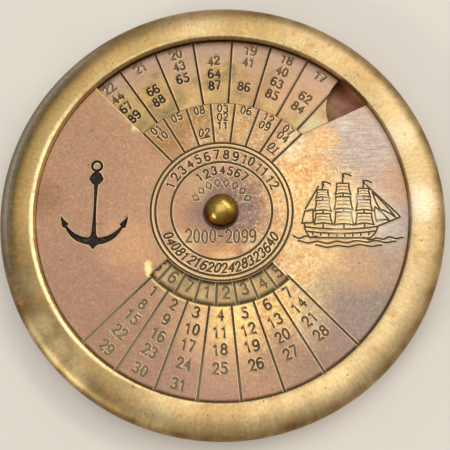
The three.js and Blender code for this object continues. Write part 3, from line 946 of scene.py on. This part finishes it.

# Tarnish on the plate, with painted shade and painted glints: x, y and radius in millimetres, colour and
# strength
PLATE_COLOUR = "#BA947A"
PLATE_TARNISH_SHADE_AND_GLINTS = [
    (-23.0, -13.0, 15.0, "#A48274", 0.75),
    (-25.0, 8.0, 14.0, "#AC8A74", 0.75),
    (-15.0, -22.0, 8.0, "#A0806C", 0.6),
    (14.0, 3.0, 9.0, "#EAC894", 0.8),
    (15.0, -9.0, 7.0, "#E8C894", 0.7),
    (14.5, -17.0, 5.0, "#D8C29C", 0.7),
    (1.0, 16.0, 8.0, "#CDAF80", 0.6),
    (-7.5, 17.0, 3.0, "#A88A60", 0.8),
    (1.0, -21.0, 7.5, "#E2BC8C", 0.8),
    (-16.0, -6.0, 5.0, "#D2A680", 0.6),
    (-2.0, -30.0, 8.0, "#AC8A80", 0.6),
    (10.0, -26.0, 5.0, "#A88A76", 0.6),
    (-9.0, -27.0, 5.0, "#A08078", 0.6),
    (24.0, -18.0, 9.0, "#928784", 0.85),
    (27.0, -9.0, 4.5, "#A8948A", 0.8),
    (17.0, -26.0, 5.0, "#9A8378", 0.8),
    (25.0, 12.5, 8.0, "#B4AAA6", 0.85),
    (28.5, -2.0, 5.5, "#A29C9C", 0.9),
    (1.0, 1.0, 8.5, "#A07C6E", 0.85),
    (0.5, 0.5, 6.0, "#80706E", 0.85),
    (-4.5, 4.5, 2.5, "#C0A080", 0.7),
    (0.0, -6.6, 2.6, "#D8A46C", 0.7),
    # Painted shade by the rim on the left
    (-31.5, 2.0, 4.0, "#926C58", 0.6),
    (-9.5, 13.0, 4.0, "#9C7850", 0.8),
    (12.6, 11.6, 3.0, "#E8D8B4", 0.6),
    (17.6, 12.6, 3.0, "#E8C084", 0.6),
    (2.5, -18.2, 4.5, "#F4D48E", 0.8),
    (9.6, -16.6, 3.6, "#F2CC86", 0.7),
    (22.4, -2.0, 5.0, "#EACCA0", 0.7),
    (21.0, 0.6, 4.5, "#F6DEAE", 0.6),
    (1.0, -11.0, 3.4, "#EACB98", 0.6),
    (0.5, 12.5, 3.0, "#B08C64", 0.5),
    (3.5, 18.0, 3.0, "#B08C64", 0.6),
    (14.5, 7.0, 3.2, "#DCAC74", 0.5),
    (27.5, -3.0, 4.0, "#BCB0A8", 0.6),
    (-4.0, 17.8, 3.5, "#A48258", 0.8),
    (23.6, -11.0, 3.6, "#C8A480", 0.55),
    # Painted reflection by the finger notch
    (21.4, 15.6, 1.5, "#CCCAC6", 0.45),
    (0.0, -5.2, 2.2, "#8A706A", 0.5),
    (-6.3, -6.3, 2.4, "#E8CCA0", 0.5),
    (6.3, -6.3, 2.4, "#ECD2A4", 0.6),
    (25.5, 0.5, 4.5, "#F4E6D0", 0.35),
    # Painted glints at the left corners of the two windows
    (-15.3, 14.8, 0.8, "#FFEFC0", 0.6),
    (-12.3, -9.3, 0.65, "#FFE9AC", 0.75),
    (-12.2, -10.2, 0.65, "#FFF0B8", 0.85),
    (-12.0, -11.1, 0.55, "#FFE9AC", 0.8),
]
# Where the plate is rubbed to a fine golden speckle, and where it is scratched to and fro
PLATE_SPECKLE = [
    (11.0, 4.0, 12.0, "#FFFFFF", 1.0),
    (8.0, -14.0, 10.0, "#FFFFFF", 0.9),
    (0.0, 16.0, 8.0, "#FFFFFF", 0.8),
]
PLATE_SCRATCHES = [(24.5, 11.0, 8.0, "#FFFFFF", 1.0), (1.0, 1.0, 7.0, "#FFFFFF", 0.4)]
# Tints of the plate's fine mottle; the dried wax in the sunk anchor and the heights it starts at
PLATE_HUES = [(0.88, 0.71, 0.58, 1.0), (1.07, 1.2, 1.2, 1.0)]
ANCHOR_WAX_HEIGHTS = (-0.13, -0.2)
ANCHOR_WAX = [(0.4, "#1C1612"), (0.55, "#2C241E"), (0.68, "#6A5C4C")]
# Painted shadow at the foot of the rivet's head, thicker at its lower left
RIVET_SHADOW_CENTRE = (-0.14, -0.42)
RIVET_SHADOW_RADIUS = 2.95
# Painted shadow in the corner between plate and rim, under the lip: its widths at two places along y
CORNER_SHADOW_YS = (0.0, -26.0)
CORNER_SHADOW_WIDTHS = (0.14, 0.5)
# Painted highlight along the year window's left edge: its width and its lowest y
HIGHLIGHT_EDGE_WIDTH = 0.4
HIGHLIGHT_EDGE_LOW = 14.0
# Painted highlights along rings, between the two outer circles and under the weekday window: radius, highest
# y, share
HIGHLIGHT_RINGS = [(11.75, 12.0, 0.3), (16.5, -11.0, 0.7)]
# Heights at which the filling of a groove begins and covers its wall; the wax, and where it has
# worn thin and holds dust, and painted highlights in the ship's grooves: x, y, radius, colour and strength
FILLING_TOP = -0.01
FILLING_FULL = -0.09
PLATE_WAX = "#54442E"
PLATE_DUST_AND_GLINTS = [
    (20.0, -1.0, 8.0, "#6C6248", 0.85),
    (20.0, -20.0, 7.0, "#6E5E4A", 0.7),
    (-18.0, -24.0, 12.0, "#96886E", 0.95),
    (-3.0, -31.0, 8.0, "#94846C", 0.9),
    (14.0, -25.0, 7.0, "#7A6A52", 0.7),
    (0.0, 3.2, 3.0, "#7A6A64", 0.8),
    (-2.5, -4.6, 3.0, "#8A7462", 0.9),
    (3.0, -4.6, 3.0, "#7E6C58", 0.8),
    # Painted highlights in the ship's grooves
    (18.4, 1.4, 1.3, "#C8C6CA", 0.9),
    (21.6, -0.8, 1.4, "#C8C6CA", 0.9),
    (23.6, 2.2, 1.1, "#C8C6CA", 0.8),
    (19.8, -3.4, 1.2, "#B8B2B0", 0.8),
    (26.8, -0.8, 1.1, "#C8C6CA", 0.8),
]


def near_line(add, value, line, start, end, at_start, at_end):
    """A share that depends on how far a value is from a line, to either side."""
    off = add("Math", (value, line), operation="SUBTRACT")
    away = add("Math", (off,), operation="ABSOLUTE")
    return add("MapRange", (away, start, end, at_start, at_end))


def with_burrs(add, face, code, height):
    """A face with bare metal rubbed on the burrs beside its grooves, and a painted highlight on them that is
    strongest on slopes facing the lower left.
    """
    normal = add("NewGeometry", output="True Normal")
    facing = add("VectorMath", (normal, BURR_SHADED_SIDE), operation="DOT_PRODUCT")
    highlight_side = add("MapRange", (facing, 0.12, -0.12, 0.3, 1.0))
    burr = add("MapRange", (height, 0.0, BURR_HEIGHT, 0.0, 0.95))
    rubbed = add("Math", (burr, highlight_side), operation="MULTIPLY")
    return add("Mix", {0: rubbed, 6: face, 7: linear(code)}, data_type="RGBA")


def filled_metal(add, face, filling, height, fine, matt, metallic):
    """Ends a material's nodes with a fine-grained metal whose grooves hold a matt filling."""
    filled = add("MapRange", (height, FILLING_TOP, FILLING_FULL))
    shine = add("MapRange", (fine, 0.3, 0.7, 0.38, 0.52))
    metal_shader(add, {
        "Base Color": add("Mix", {0: filled, 6: face, 7: filling}, data_type="RGBA"),
        "Metallic": add("MapRange", {0: filled, 3: 1.0, 4: metallic}),
        "Roughness": add("MapRange", {0: filled, 3: shine, 4: matt}),
        "Normal": add("Bump", {"Strength": 0.6, "Distance": 0.04 * MM, "Height": fine}),
    })


def coppered_brass():
    """Brass sheet dipped to a copper tone and handled for years: mottled, pitted, mauve at the
    edges and rubbed golden on the right, with dark wax in the engraving. Shadows at the rivet's
    foot and under the lip, and highlights on edges, rings and burrs, are painted."""
    material, add, mm = new_metal("coppered_brass")
    colour = spotted(add, mm, linear(PLATE_COLOUR), PLATE_TARNISH_SHADE_AND_GLINTS)
    dusty = spotted(add, mm, linear(PLATE_WAX), PLATE_DUST_AND_GLINTS)
    height = add("Attribute", output="Fac", attribute_name="relief")
    sunk = add("MapRange", (height, *ANCHOR_WAX_HEIGHTS))
    lump = add("TexNoise", {"Vector": mm, "Scale": 1.8, "Detail": 5.0, "Roughness": 0.7})
    grit = add("ValToRGB", (lump,), stops=ANCHOR_WAX)
    waxed = add("Mix", {0: sunk, 6: dusty, 7: grit}, data_type="RGBA")
    tint = add("TexNoise", {"Vector": mm, "Scale": 0.8, "Detail": 8.0, "Roughness": 0.78})
    yellow = add("MapRange", (tint, 0.42, 0.58, -0.5, 0.5))
    speckled = spotted(add, mm, linear("#808080"), PLATE_SPECKLE)
    amount = add("Math", (yellow, speckled, 0.5), operation="MULTIPLY_ADD")
    hue = add("Mix", {0: amount, 6: PLATE_HUES[0], 7: PLATE_HUES[1]}, data_type="RGBA")
    tinted = add("VectorMath", (colour, hue), operation="MULTIPLY")
    fine = add("TexNoise", {"Vector": mm, "Scale": 2.4, "Detail": 7.0, "Roughness": 0.75})
    even = add("MapRange", (fine, 0.38, 0.62, -0.5, 0.5))
    depth = add("MapRange", {0: speckled, 3: 0.25, 4: 0.7})
    grain = add("Math", (even, depth, 1.0), operation="MULTIPLY_ADD")
    drawn_out = add("VectorMath", (mm, (0.3, 5.0, 1.0)), operation="MULTIPLY")
    strokes = add("TexNoise", {"Vector": drawn_out, "Scale": 1.0, "Detail": 4.0, "Roughness": 0.65})
    lined = add("MapRange", (strokes, 0.35, 0.65, -0.24, 0.24))
    where = spotted(add, mm, linear("#303030"), PLATE_SCRATCHES)
    scratched = add("Math", (lined, where, grain), operation="MULTIPLY_ADD")
    level = add("VectorMath", {0: tinted, 3: scratched}, operation="SCALE")
    peaks = add("MapRange", (fine, 0.57, 0.64, 0.0, 0.75))
    sparks = add("Math", (peaks, speckled), operation="MULTIPLY")
    sparkling = add("Mix", {0: sparks, 6: level, 7: linear("#F8DCA0")}, data_type="RGBA")
    # Painted shadow at the rivet's foot, then painted shadow under the lip in the corner
    rivet_foot = (*RIVET_SHADOW_CENTRE, PLATE_TOP_MM)
    foot = add("VectorMath", (mm, rivet_foot), operation="DISTANCE")
    rivet_shadowed = laid_over(add, sparkling, "#34281C", foot, RIVET_SHADOW_RADIUS + 0.25, RIVET_SHADOW_RADIUS, 0.85)
    radius = off_axis(add, mm)[1]
    north = add("SeparateXYZ", (mm,), "Y")
    corner_range = [LIP_RADIUS - width for width in CORNER_SHADOW_WIDTHS]
    corner_start = add("MapRange", (north, *CORNER_SHADOW_YS, *corner_range))
    corner_shadowed = laid_over(add, rivet_shadowed, "#20160E", radius, corner_start, LIP_RADIUS - 0.04, 0.92)
    # Painted highlights along the year window's left edge and along two rings
    across_edge = (*polar(1, YEAR_WINDOW_LEFT - 90), 0)
    beside = add("VectorMath", (mm, across_edge), operation="DOT_PRODUCT")
    edge_range = (HIGHLIGHT_EDGE_WIDTH, HIGHLIGHT_EDGE_WIDTH / 2, 0.0)
    strip = near_line(add, beside, 0.0, *edge_range, 0.85)
    upper = add("Math", (north, HIGHLIGHT_EDGE_LOW), operation="GREATER_THAN")
    highlight_share = add("Math", (strip, upper), operation="MULTIPLY")
    for ring, top, share in HIGHLIGHT_RINGS:
        arc = near_line(add, radius, ring, *edge_range, share)
        lower = add("Math", (north, top), operation="LESS_THAN")
        highlight_share = add("Math", (arc, lower, highlight_share), operation="MULTIPLY_ADD")
    shaded = add("Mix", {0: highlight_share, 6: corner_shadowed, 7: linear("#F4DC94")}, data_type="RGBA")
    edged = with_burrs(add, shaded, "#FFE8B8", height)
    holes = pits(add, mm, 1.3, 0.2, 0.25)
    pitted = add("Mix", {0: holes, 6: edged, 7: linear("#7A5238")}, data_type="RGBA")
    filled_metal(add, pitted, waxed, height, fine, 0.75, 0.3)
    return material


plate_cuts = struck(rules, RULE_WIDTH, RULE_DEPTH) + struck(dates) + struck(months, *MONTH_CUT)
plate_cuts += struck(band, *BAND_CUT) + struck(span, *SPAN_CUT) + struck(lozenges, *LOZENGE_CUT) + anchor
plate_cuts += struck(ship_lines(), *SHIP_CUT) + struck(reefs, *REEF_CUT)
plate_mesh = engraved_sheet(
    "dial_plate_engraved", plate_outline(), [day_window(), circle(RIVET_HOLE_RADIUS, HOLE_STEPS)],
    plate_cuts, PLATE_TOP_MM, PLATE_BOTTOM, PLATE_CHAMFER,
)
new_piece(plate_mesh, coppered_brass(), "case", "dial_plate")


# Pivot rivet: solid brass, turned with a high domed head and polished; its thin tail was peened
# over a washer behind. Its olive colour is painted darker towards the foot as shade, and bright on the dome.
HEAD_RADIUS = 2.9
HEAD_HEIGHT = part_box("pivot_rivet")[1].z / MM - PLATE_TOP_MM
SHANK_RADIUS = 1.5
TAIL_RADIUS = 2.3
TAIL_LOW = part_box("pivot_rivet")[0].z / MM
TAIL_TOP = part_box("tail_washer")[0].z / MM
RIVET_SEGMENTS = 96
RIVET_STEPS = 18
# Tone of the rivet by height, dark at the foot: painted shade
RIVET_TONES_AND_SHADE = [(0.0, "#2C1E0C"), (0.3, "#7A5C24"), (0.65, "#9C7C36"), (1.0, "#C4A65A")]
RIVET_STAINS = [(0.9, -1.7, 1.5, "#7A4C20", 0.6), (-1.5, 0.4, 1.0, "#847438", 0.4)]


def polished_olive_brass():
    """Polished brass with an olive film: it mirrors the lamps softly, and its colour is painted darker
    towards its foot as shade.
    """
    material, add, mm = new_metal("polished_olive_brass")
    high = add("SeparateXYZ", (mm,), "Z")
    above = add("MapRange", (high, PLATE_TOP_MM, PLATE_TOP_MM + HEAD_HEIGHT), clamp=False)
    share = add("Math", (above,), operation="ABSOLUTE")
    tone = add("ValToRGB", (share,), stops=RIVET_TONES_AND_SHADE)
    smears = add("TexNoise", {"Vector": mm, "Scale": 1.4, "Detail": 5.0, "Roughness": 0.65})
    level = add("MapRange", (smears, 0.3, 0.7, 0.82, 1.15))
    lip_highlighted = spotted(add, mm, tone, RIVET_STAINS)
    metal_shader(add, {
        "Base Color": add("VectorMath", {0: lip_highlighted, 3: level}, operation="SCALE"),
        "Roughness": add("MapRange", (smears, 0.3, 0.7, 0.17, 0.28)),
        "Normal": add("Bump", {"Strength": 0.8, "Distance": 0.05 * MM, "Height": smears}),
    })
    return material


rivet_profile = [
    *elliptic(0, TAIL_TOP, TAIL_RADIUS, TAIL_TOP - TAIL_LOW, -90, 0, RIVET_STEPS),
    (SHANK_RADIUS, TAIL_TOP),
    (SHANK_RADIUS, PLATE_TOP_MM),
    *elliptic(0, PLATE_TOP_MM, HEAD_RADIUS, HEAD_HEIGHT, 0, 90, RIVET_STEPS),
]
new_piece(
    turned("pivot_rivet_domed", rivet_profile, RIVET_SEGMENTS),
    polished_olive_brass(), "case", "pivot_rivet",
)


# Thrust washer and bush: a rolled bronze ring under the dial plate, and a brass tube round the
# rivet that keeps the two plates apart and that the disc turns on. Both are hidden when it is whole.
def plain_turned_metal(name, code, front_spots=(), back_spots=()):
    """Turned metal that isn't polished: fine rings catch the light. Each side has its own spots of colour."""
    material, add, mm = new_metal(name)
    radius = off_axis(add, mm)[1]
    rings = add("TexNoise", {"W": radius, "Scale": 5.0, "Detail": 4.0}, noise_dimensions="1D")
    stain = add("TexNoise", {"Vector": mm, "Scale": 0.3, "Detail": 6.0, "Roughness": 0.65})
    streak = add("MapRange", (rings, 0.3, 0.7, 0.85, 1.12))
    cloud = add("MapRange", (stain, 0.3, 0.7, 0.6, 1.2))
    level = add("Math", (streak, cloud), operation="MULTIPLY")
    height = add("SeparateXYZ", (mm,), "Z")
    front = add("Math", (height, BACK_TOP - 0.1), operation="GREATER_THAN")
    back_tone, front_tone = (spotted(add, mm, linear(code), spots) for spots in (back_spots, front_spots))
    tone = add("Mix", {0: front, 6: back_tone, 7: front_tone}, data_type="RGBA")
    metal_shader(add, {
        "Base Color": add("VectorMath", {0: tone, 3: level}, operation="SCALE"),
        "Roughness": add("MapRange", (stain, 0.3, 0.7, 0.5, 0.34)),
        "Normal": add("Bump", {"Strength": 0.7, "Distance": 0.02 * MM, "Height": rings}),
    })
    return material


def dress(node, material):
    """Gives a node that keeps its own shape a material."""
    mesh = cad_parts[node].data
    mesh.materials.clear()
    mesh.materials.append(material)


rolled_bronze = plain_turned_metal("rolled_bronze", "#B98A56")
dress("thrust_washer", rolled_bronze)
dress("pivot_bush", plain_turned_metal("turned_brass", "#C2A060"))


# Year disc: brass sheet cut round, with a half-round notch for a fingertip. Its 28 columns are
# ruled with a graver, and the years and weekdays in them are struck with small figure punches.
DISC_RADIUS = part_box("year_disc")[1].x / MM
DISC_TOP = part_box("year_disc")[1].z / MM
DISC_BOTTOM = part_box("year_disc")[0].z / MM
DISC_BORE = 2.55
DISC_BORE_STEPS = 72
NOTCH_STEPS = 60
RULE_OVERRUN = 1.0
DISC_CHAMFER = 0.08
DISC_REST_TURN = -2.8
NORTH_COLUMN = 24
NOTCH_COLUMN = 20
NOTCH_RADIUS = 7.7
YEARS = 100
YEAR_ROW_RADII = [30.55, 28.2, 25.75, 23.4, 21.3]
YEAR_HEIGHT = 1.55
DAY_RADIUS = 14.1
DAY_HEIGHT = 1.9
COLUMN_LINE_INNER = 11.6
# Years that would fall into the notch, in free places of columns with the same weekday
MOVED_YEARS = {16: (2, 6), 39: (3, 13), 61: (5, 13), 38: (4, 5), 60: (5, 12)}
DAY_CODES = [6, 7, 1, 2, 3, 4, 5]
# Tarnish on the disc: its mottle, and x, y and radius in millimetres, colour and strength
DISC_TONES = [(0.34, "#84765A"), (0.44, "#A88E60"), (0.52, "#BE9E68"), (0.64, "#CCAE7E")]
DISC_STAINS = [
    (14.0, 22.0, 6.5, "#C6A082", 0.8),
    (6.0, 24.0, 4.5, "#B28E70", 0.7),
    (-8.0, 27.0, 5.0, "#C0A088", 0.6),
    (15.6, 15.8, 2.4, "#C8BC98", 0.8),
    (-15.5, 15.5, 4.0, "#9A8A5C", 0.5),
    (0.5, 20.6, 2.5, "#AE9668", 0.7),
]
# Radii between which the face and the dirt in its figures fade, and between which the outer edge is painted
# lighter, against the shadow under the rim's lip
FADED_RADII = (30.5, 34.5)
LIGHTENED_EDGE_RADII = (29.5, 31.5)
# Heights between the floors of the figures and those of the deeper lines
RULES_ONLY = (-0.095, -0.105)
# Where the dirt in the figures has dried pale
DISC_DUST = [(15.0, 22.0, 8.0, "#75604A", 0.85), (3.0, 26.0, 4.0, "#6A5844", 0.7)]
# Rings of painted shadow on the disc under the windows' edges and the rim's lip: radius and width in
# millimetres
DISC_EDGE_SHADOWS = [(DAY_WINDOW_INNER, 0.75), (DAY_WINDOW_OUTER, 1.0), (YEAR_WINDOW_RADIUS, 0.4), (32.2, 0.4)]


def column_angle(column):
    """Where a column of the disc starts, in degrees, as the disc was last set."""
    return 90 + DIVISION_ANGLE * (column - NORTH_COLUMN) + DISC_REST_TURN


def disc_outline():
    centre = polar(DISC_RADIUS, column_angle(NOTCH_COLUMN))
    half_opening = math.degrees(2 * math.asin(NOTCH_RADIUS / (2 * DISC_RADIUS)))
    start = column_angle(NOTCH_COLUMN) + half_opening
    big = [polar(DISC_RADIUS, a) for a in np.linspace(start, start + 360 - 2 * half_opening, ROUND_STEPS)]
    first, last = (direction(p - centre) for p in (big[-1], big[0]))
    sweep = np.linspace(first, last - 360 if last > first else last, NOTCH_STEPS)[1:-1]
    return np.array(big + [centre + polar(NOTCH_RADIUS, a) for a in sweep])


def year_place(year):
    """Row and column of a year: each leap year skips a column, and 28 columns go round."""
    step = year + year // LEAP_CYCLE
    return MOVED_YEARS.get(year, (step // DIVISIONS, step % DIVISIONS))


disc_strokes = []
for year in range(YEARS):
    row, column = year_place(year)
    if row < len(YEAR_ROW_RADII):
        middle = column_angle(column + 0.5)
        radius = YEAR_ROW_RADII[row]
        disc_strokes += figures(f"{year:02d}", polar(radius, middle), YEAR_HEIGHT, middle - 90)
for column in range(DIVISIONS):
    middle = column_angle(column + 0.5)
    code = str(DAY_CODES[column % WEEK_DAYS])
    disc_strokes += figures(code, polar(DAY_RADIUS, middle), DAY_HEIGHT, middle + 90)
disc_rules = []
for column in range(DIVISIONS):
    outer = DISC_RADIUS + RULE_OVERRUN
    if column == NOTCH_COLUMN:
        outer -= NOTCH_RADIUS
    ray = column_angle(column)
    disc_rules.append(([polar(COLUMN_LINE_INNER, ray), polar(outer, ray)], False))


def tanned_brass():
    """Brass sheet toned tan and worn by thumbs: greyer outside, where the dirt in the figures
    has faded, and dark dirt in the rest. Shadow under the plate's edges and the lip is painted on, and the
    outer edge is painted lighter."""
    material, add, mm = new_metal("tanned_brass")
    radius = off_axis(add, mm)[1]
    mottle = add("TexNoise", {"Vector": mm, "Scale": 0.3, "Detail": 7.0, "Roughness": 0.62})
    tone = add("ValToRGB", (mottle,), stops=DISC_TONES)
    inside = add("MapRange", (radius, DAY_WINDOW_OUTER + 1.0, DAY_WINDOW_OUTER, 0.0, 0.9))
    dulled = laid_over(add, tone, "#B29C7A", inside, 0.0, 1.0, 0.4)
    patched = spotted(add, mm, dulled, DISC_STAINS)
    swayed = add("Math", (mottle, 8.0, radius), operation="MULTIPLY_ADD")
    faded = add("MapRange", (swayed, *FADED_RADII))
    outer = add("Mix", {0: faded, 6: patched, 7: linear("#B39784")}, data_type="RGBA")
    fine = add("TexNoise", {"Vector": mm, "Scale": 2.4, "Detail": 6.0, "Roughness": 0.7})
    cloud = add("MapRange", (fine, 0.3, 0.7, 0.8, 1.15))
    edge_shadow = 1.0
    for edge, width in DISC_EDGE_SHADOWS:
        clean = near_line(add, radius, edge, 0.35 * width, width, 0.18, 1.0)
        edge_shadow = add("Math", (clean, edge_shadow), operation="MULTIPLY")
    lightened_edge = add("MapRange", (radius, *LIGHTENED_EDGE_RADII, 1.0, 1.2))
    shade_and_light = add("Math", (edge_shadow, lightened_edge), operation="MULTIPLY")
    worn = add("Math", (cloud, shade_and_light), operation="MULTIPLY")
    shaded = add("VectorMath", {0: outer, 3: worn}, operation="SCALE")
    height = add("Attribute", output="Fac", attribute_name="relief")
    edged = with_burrs(add, shaded, "#ECD0A0", height)
    deep = add("MapRange", (height, *RULES_ONLY))
    kept = add("Math", (faded, deep), operation="SUBTRACT", use_clamp=True)
    dark = spotted(add, mm, linear("#2A2016"), DISC_DUST)
    dusty = add("Mix", {0: inside, 6: dark, 7: linear("#7A7264")}, data_type="RGBA")
    dirt = add("Mix", {0: kept, 6: dusty, 7: linear("#7A6A5C")}, data_type="RGBA")
    filled_metal(add, edged, dirt, height, fine, 0.8, 0.2)
    return material


disc_cuts = struck(disc_strokes) + struck(disc_rules, RULE_WIDTH, RULE_DEPTH)
disc_mesh = engraved_sheet(
    "year_disc_struck", disc_outline(), [circle(DISC_BORE, DISC_BORE_STEPS)],
    disc_cuts, DISC_TOP, DISC_BOTTOM, DISC_CHAMFER,
)
new_piece(disc_mesh, tanned_brass(), "year_disc", "year_disc")


# Spring washer: bronze strip bent into three waves. It lifts the disc against the thrust washer,
# so that the disc stays where it was set.
dress("spring_washer", rolled_bronze)


# Back plate and tail washer: brass sheet turned flat on the lathe and pressed into its step, held
# by the rivet's tail over a small washer. Both are browned, and a desk has rubbed the sheet paler.
BACK_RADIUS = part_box("back_plate")[1].x / MM
BACK_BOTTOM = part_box("back_plate")[0].z / MM
BACK_EDGE = 0.25
BACK_DISH_RADII = (24.0, 25.2)
BACK_DISH_DEPTH = 0.2
TAIL_WASHER_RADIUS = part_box("tail_washer")[1].x / MM
TAIL_WASHER_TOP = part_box("tail_washer")[1].z / MM
WASHER_EDGE = 0.1
WASHER_SEGMENTS = 96
SHEET_SEGMENTS = 360
# Floor that the finger notch shows: tarnish, painted darker on the left and lighter on the right against the
# rim's shadow: x, y and radius, colour and strength
NOTCH_FLOOR_SHADING = [
    (18.0, 18.0, 9.0, "#6E5A42", 1.0),
    (20.5, 26.0, 6.0, "#8E604A", 0.9),
    (25.5, 19.5, 5.0, "#B8807A", 0.95),
]
# Tarnish on the back: rubbed bright where it slides on a desk, brown by the rim and the rivet
BACK_STAINS = [
    (-9.0, 12.0, 13.0, "#C09C62", 0.8),
    (13.0, -9.0, 12.0, "#B8925A", 0.8),
    (16.0, 15.0, 8.0, "#A47E4C", 0.7),
    (2.0, -23.0, 8.0, "#5E4630", 0.8),
    (-19.0, -9.0, 9.0, "#6B4F38", 0.7),
    (27.0, 2.0, 5.0, "#5E4630", 0.7),
    (-26.0, 14.0, 5.0, "#5E4630", 0.7),
    (0.0, 0.0, 4.5, "#4E3C2C", 0.8),
]
browned_brass = plain_turned_metal("browned_brass", "#8C6640", NOTCH_FLOOR_SHADING, BACK_STAINS)
back_profile = [
    (RIVET_HOLE_RADIUS, BACK_BOTTOM + BACK_DISH_DEPTH),
    (BACK_DISH_RADII[0], BACK_BOTTOM + BACK_DISH_DEPTH),
    (BACK_DISH_RADII[1], BACK_BOTTOM),
    (BACK_RADIUS - BACK_EDGE, BACK_BOTTOM),
    (BACK_RADIUS, BACK_BOTTOM + BACK_EDGE),
    (BACK_RADIUS, BACK_TOP),
    (RIVET_HOLE_RADIUS, BACK_TOP),
    (RIVET_HOLE_RADIUS, BACK_BOTTOM + BACK_DISH_DEPTH),
]
new_piece(
    turned("back_plate_turned", back_profile, SHEET_SEGMENTS),
    browned_brass, "case", "back_plate",
)
washer_profile = [
    (RIVET_HOLE_RADIUS, TAIL_TOP),
    (TAIL_WASHER_RADIUS - WASHER_EDGE, TAIL_TOP),
    (TAIL_WASHER_RADIUS, TAIL_TOP + WASHER_EDGE),
    (TAIL_WASHER_RADIUS, TAIL_WASHER_TOP),
    (RIVET_HOLE_RADIUS, TAIL_WASHER_TOP),
    (RIVET_HOLE_RADIUS, TAIL_TOP),
]
new_piece(
    turned("tail_washer_turned", washer_profile, WASHER_SEGMENTS),
    browned_brass, "case", "tail_washer",
)
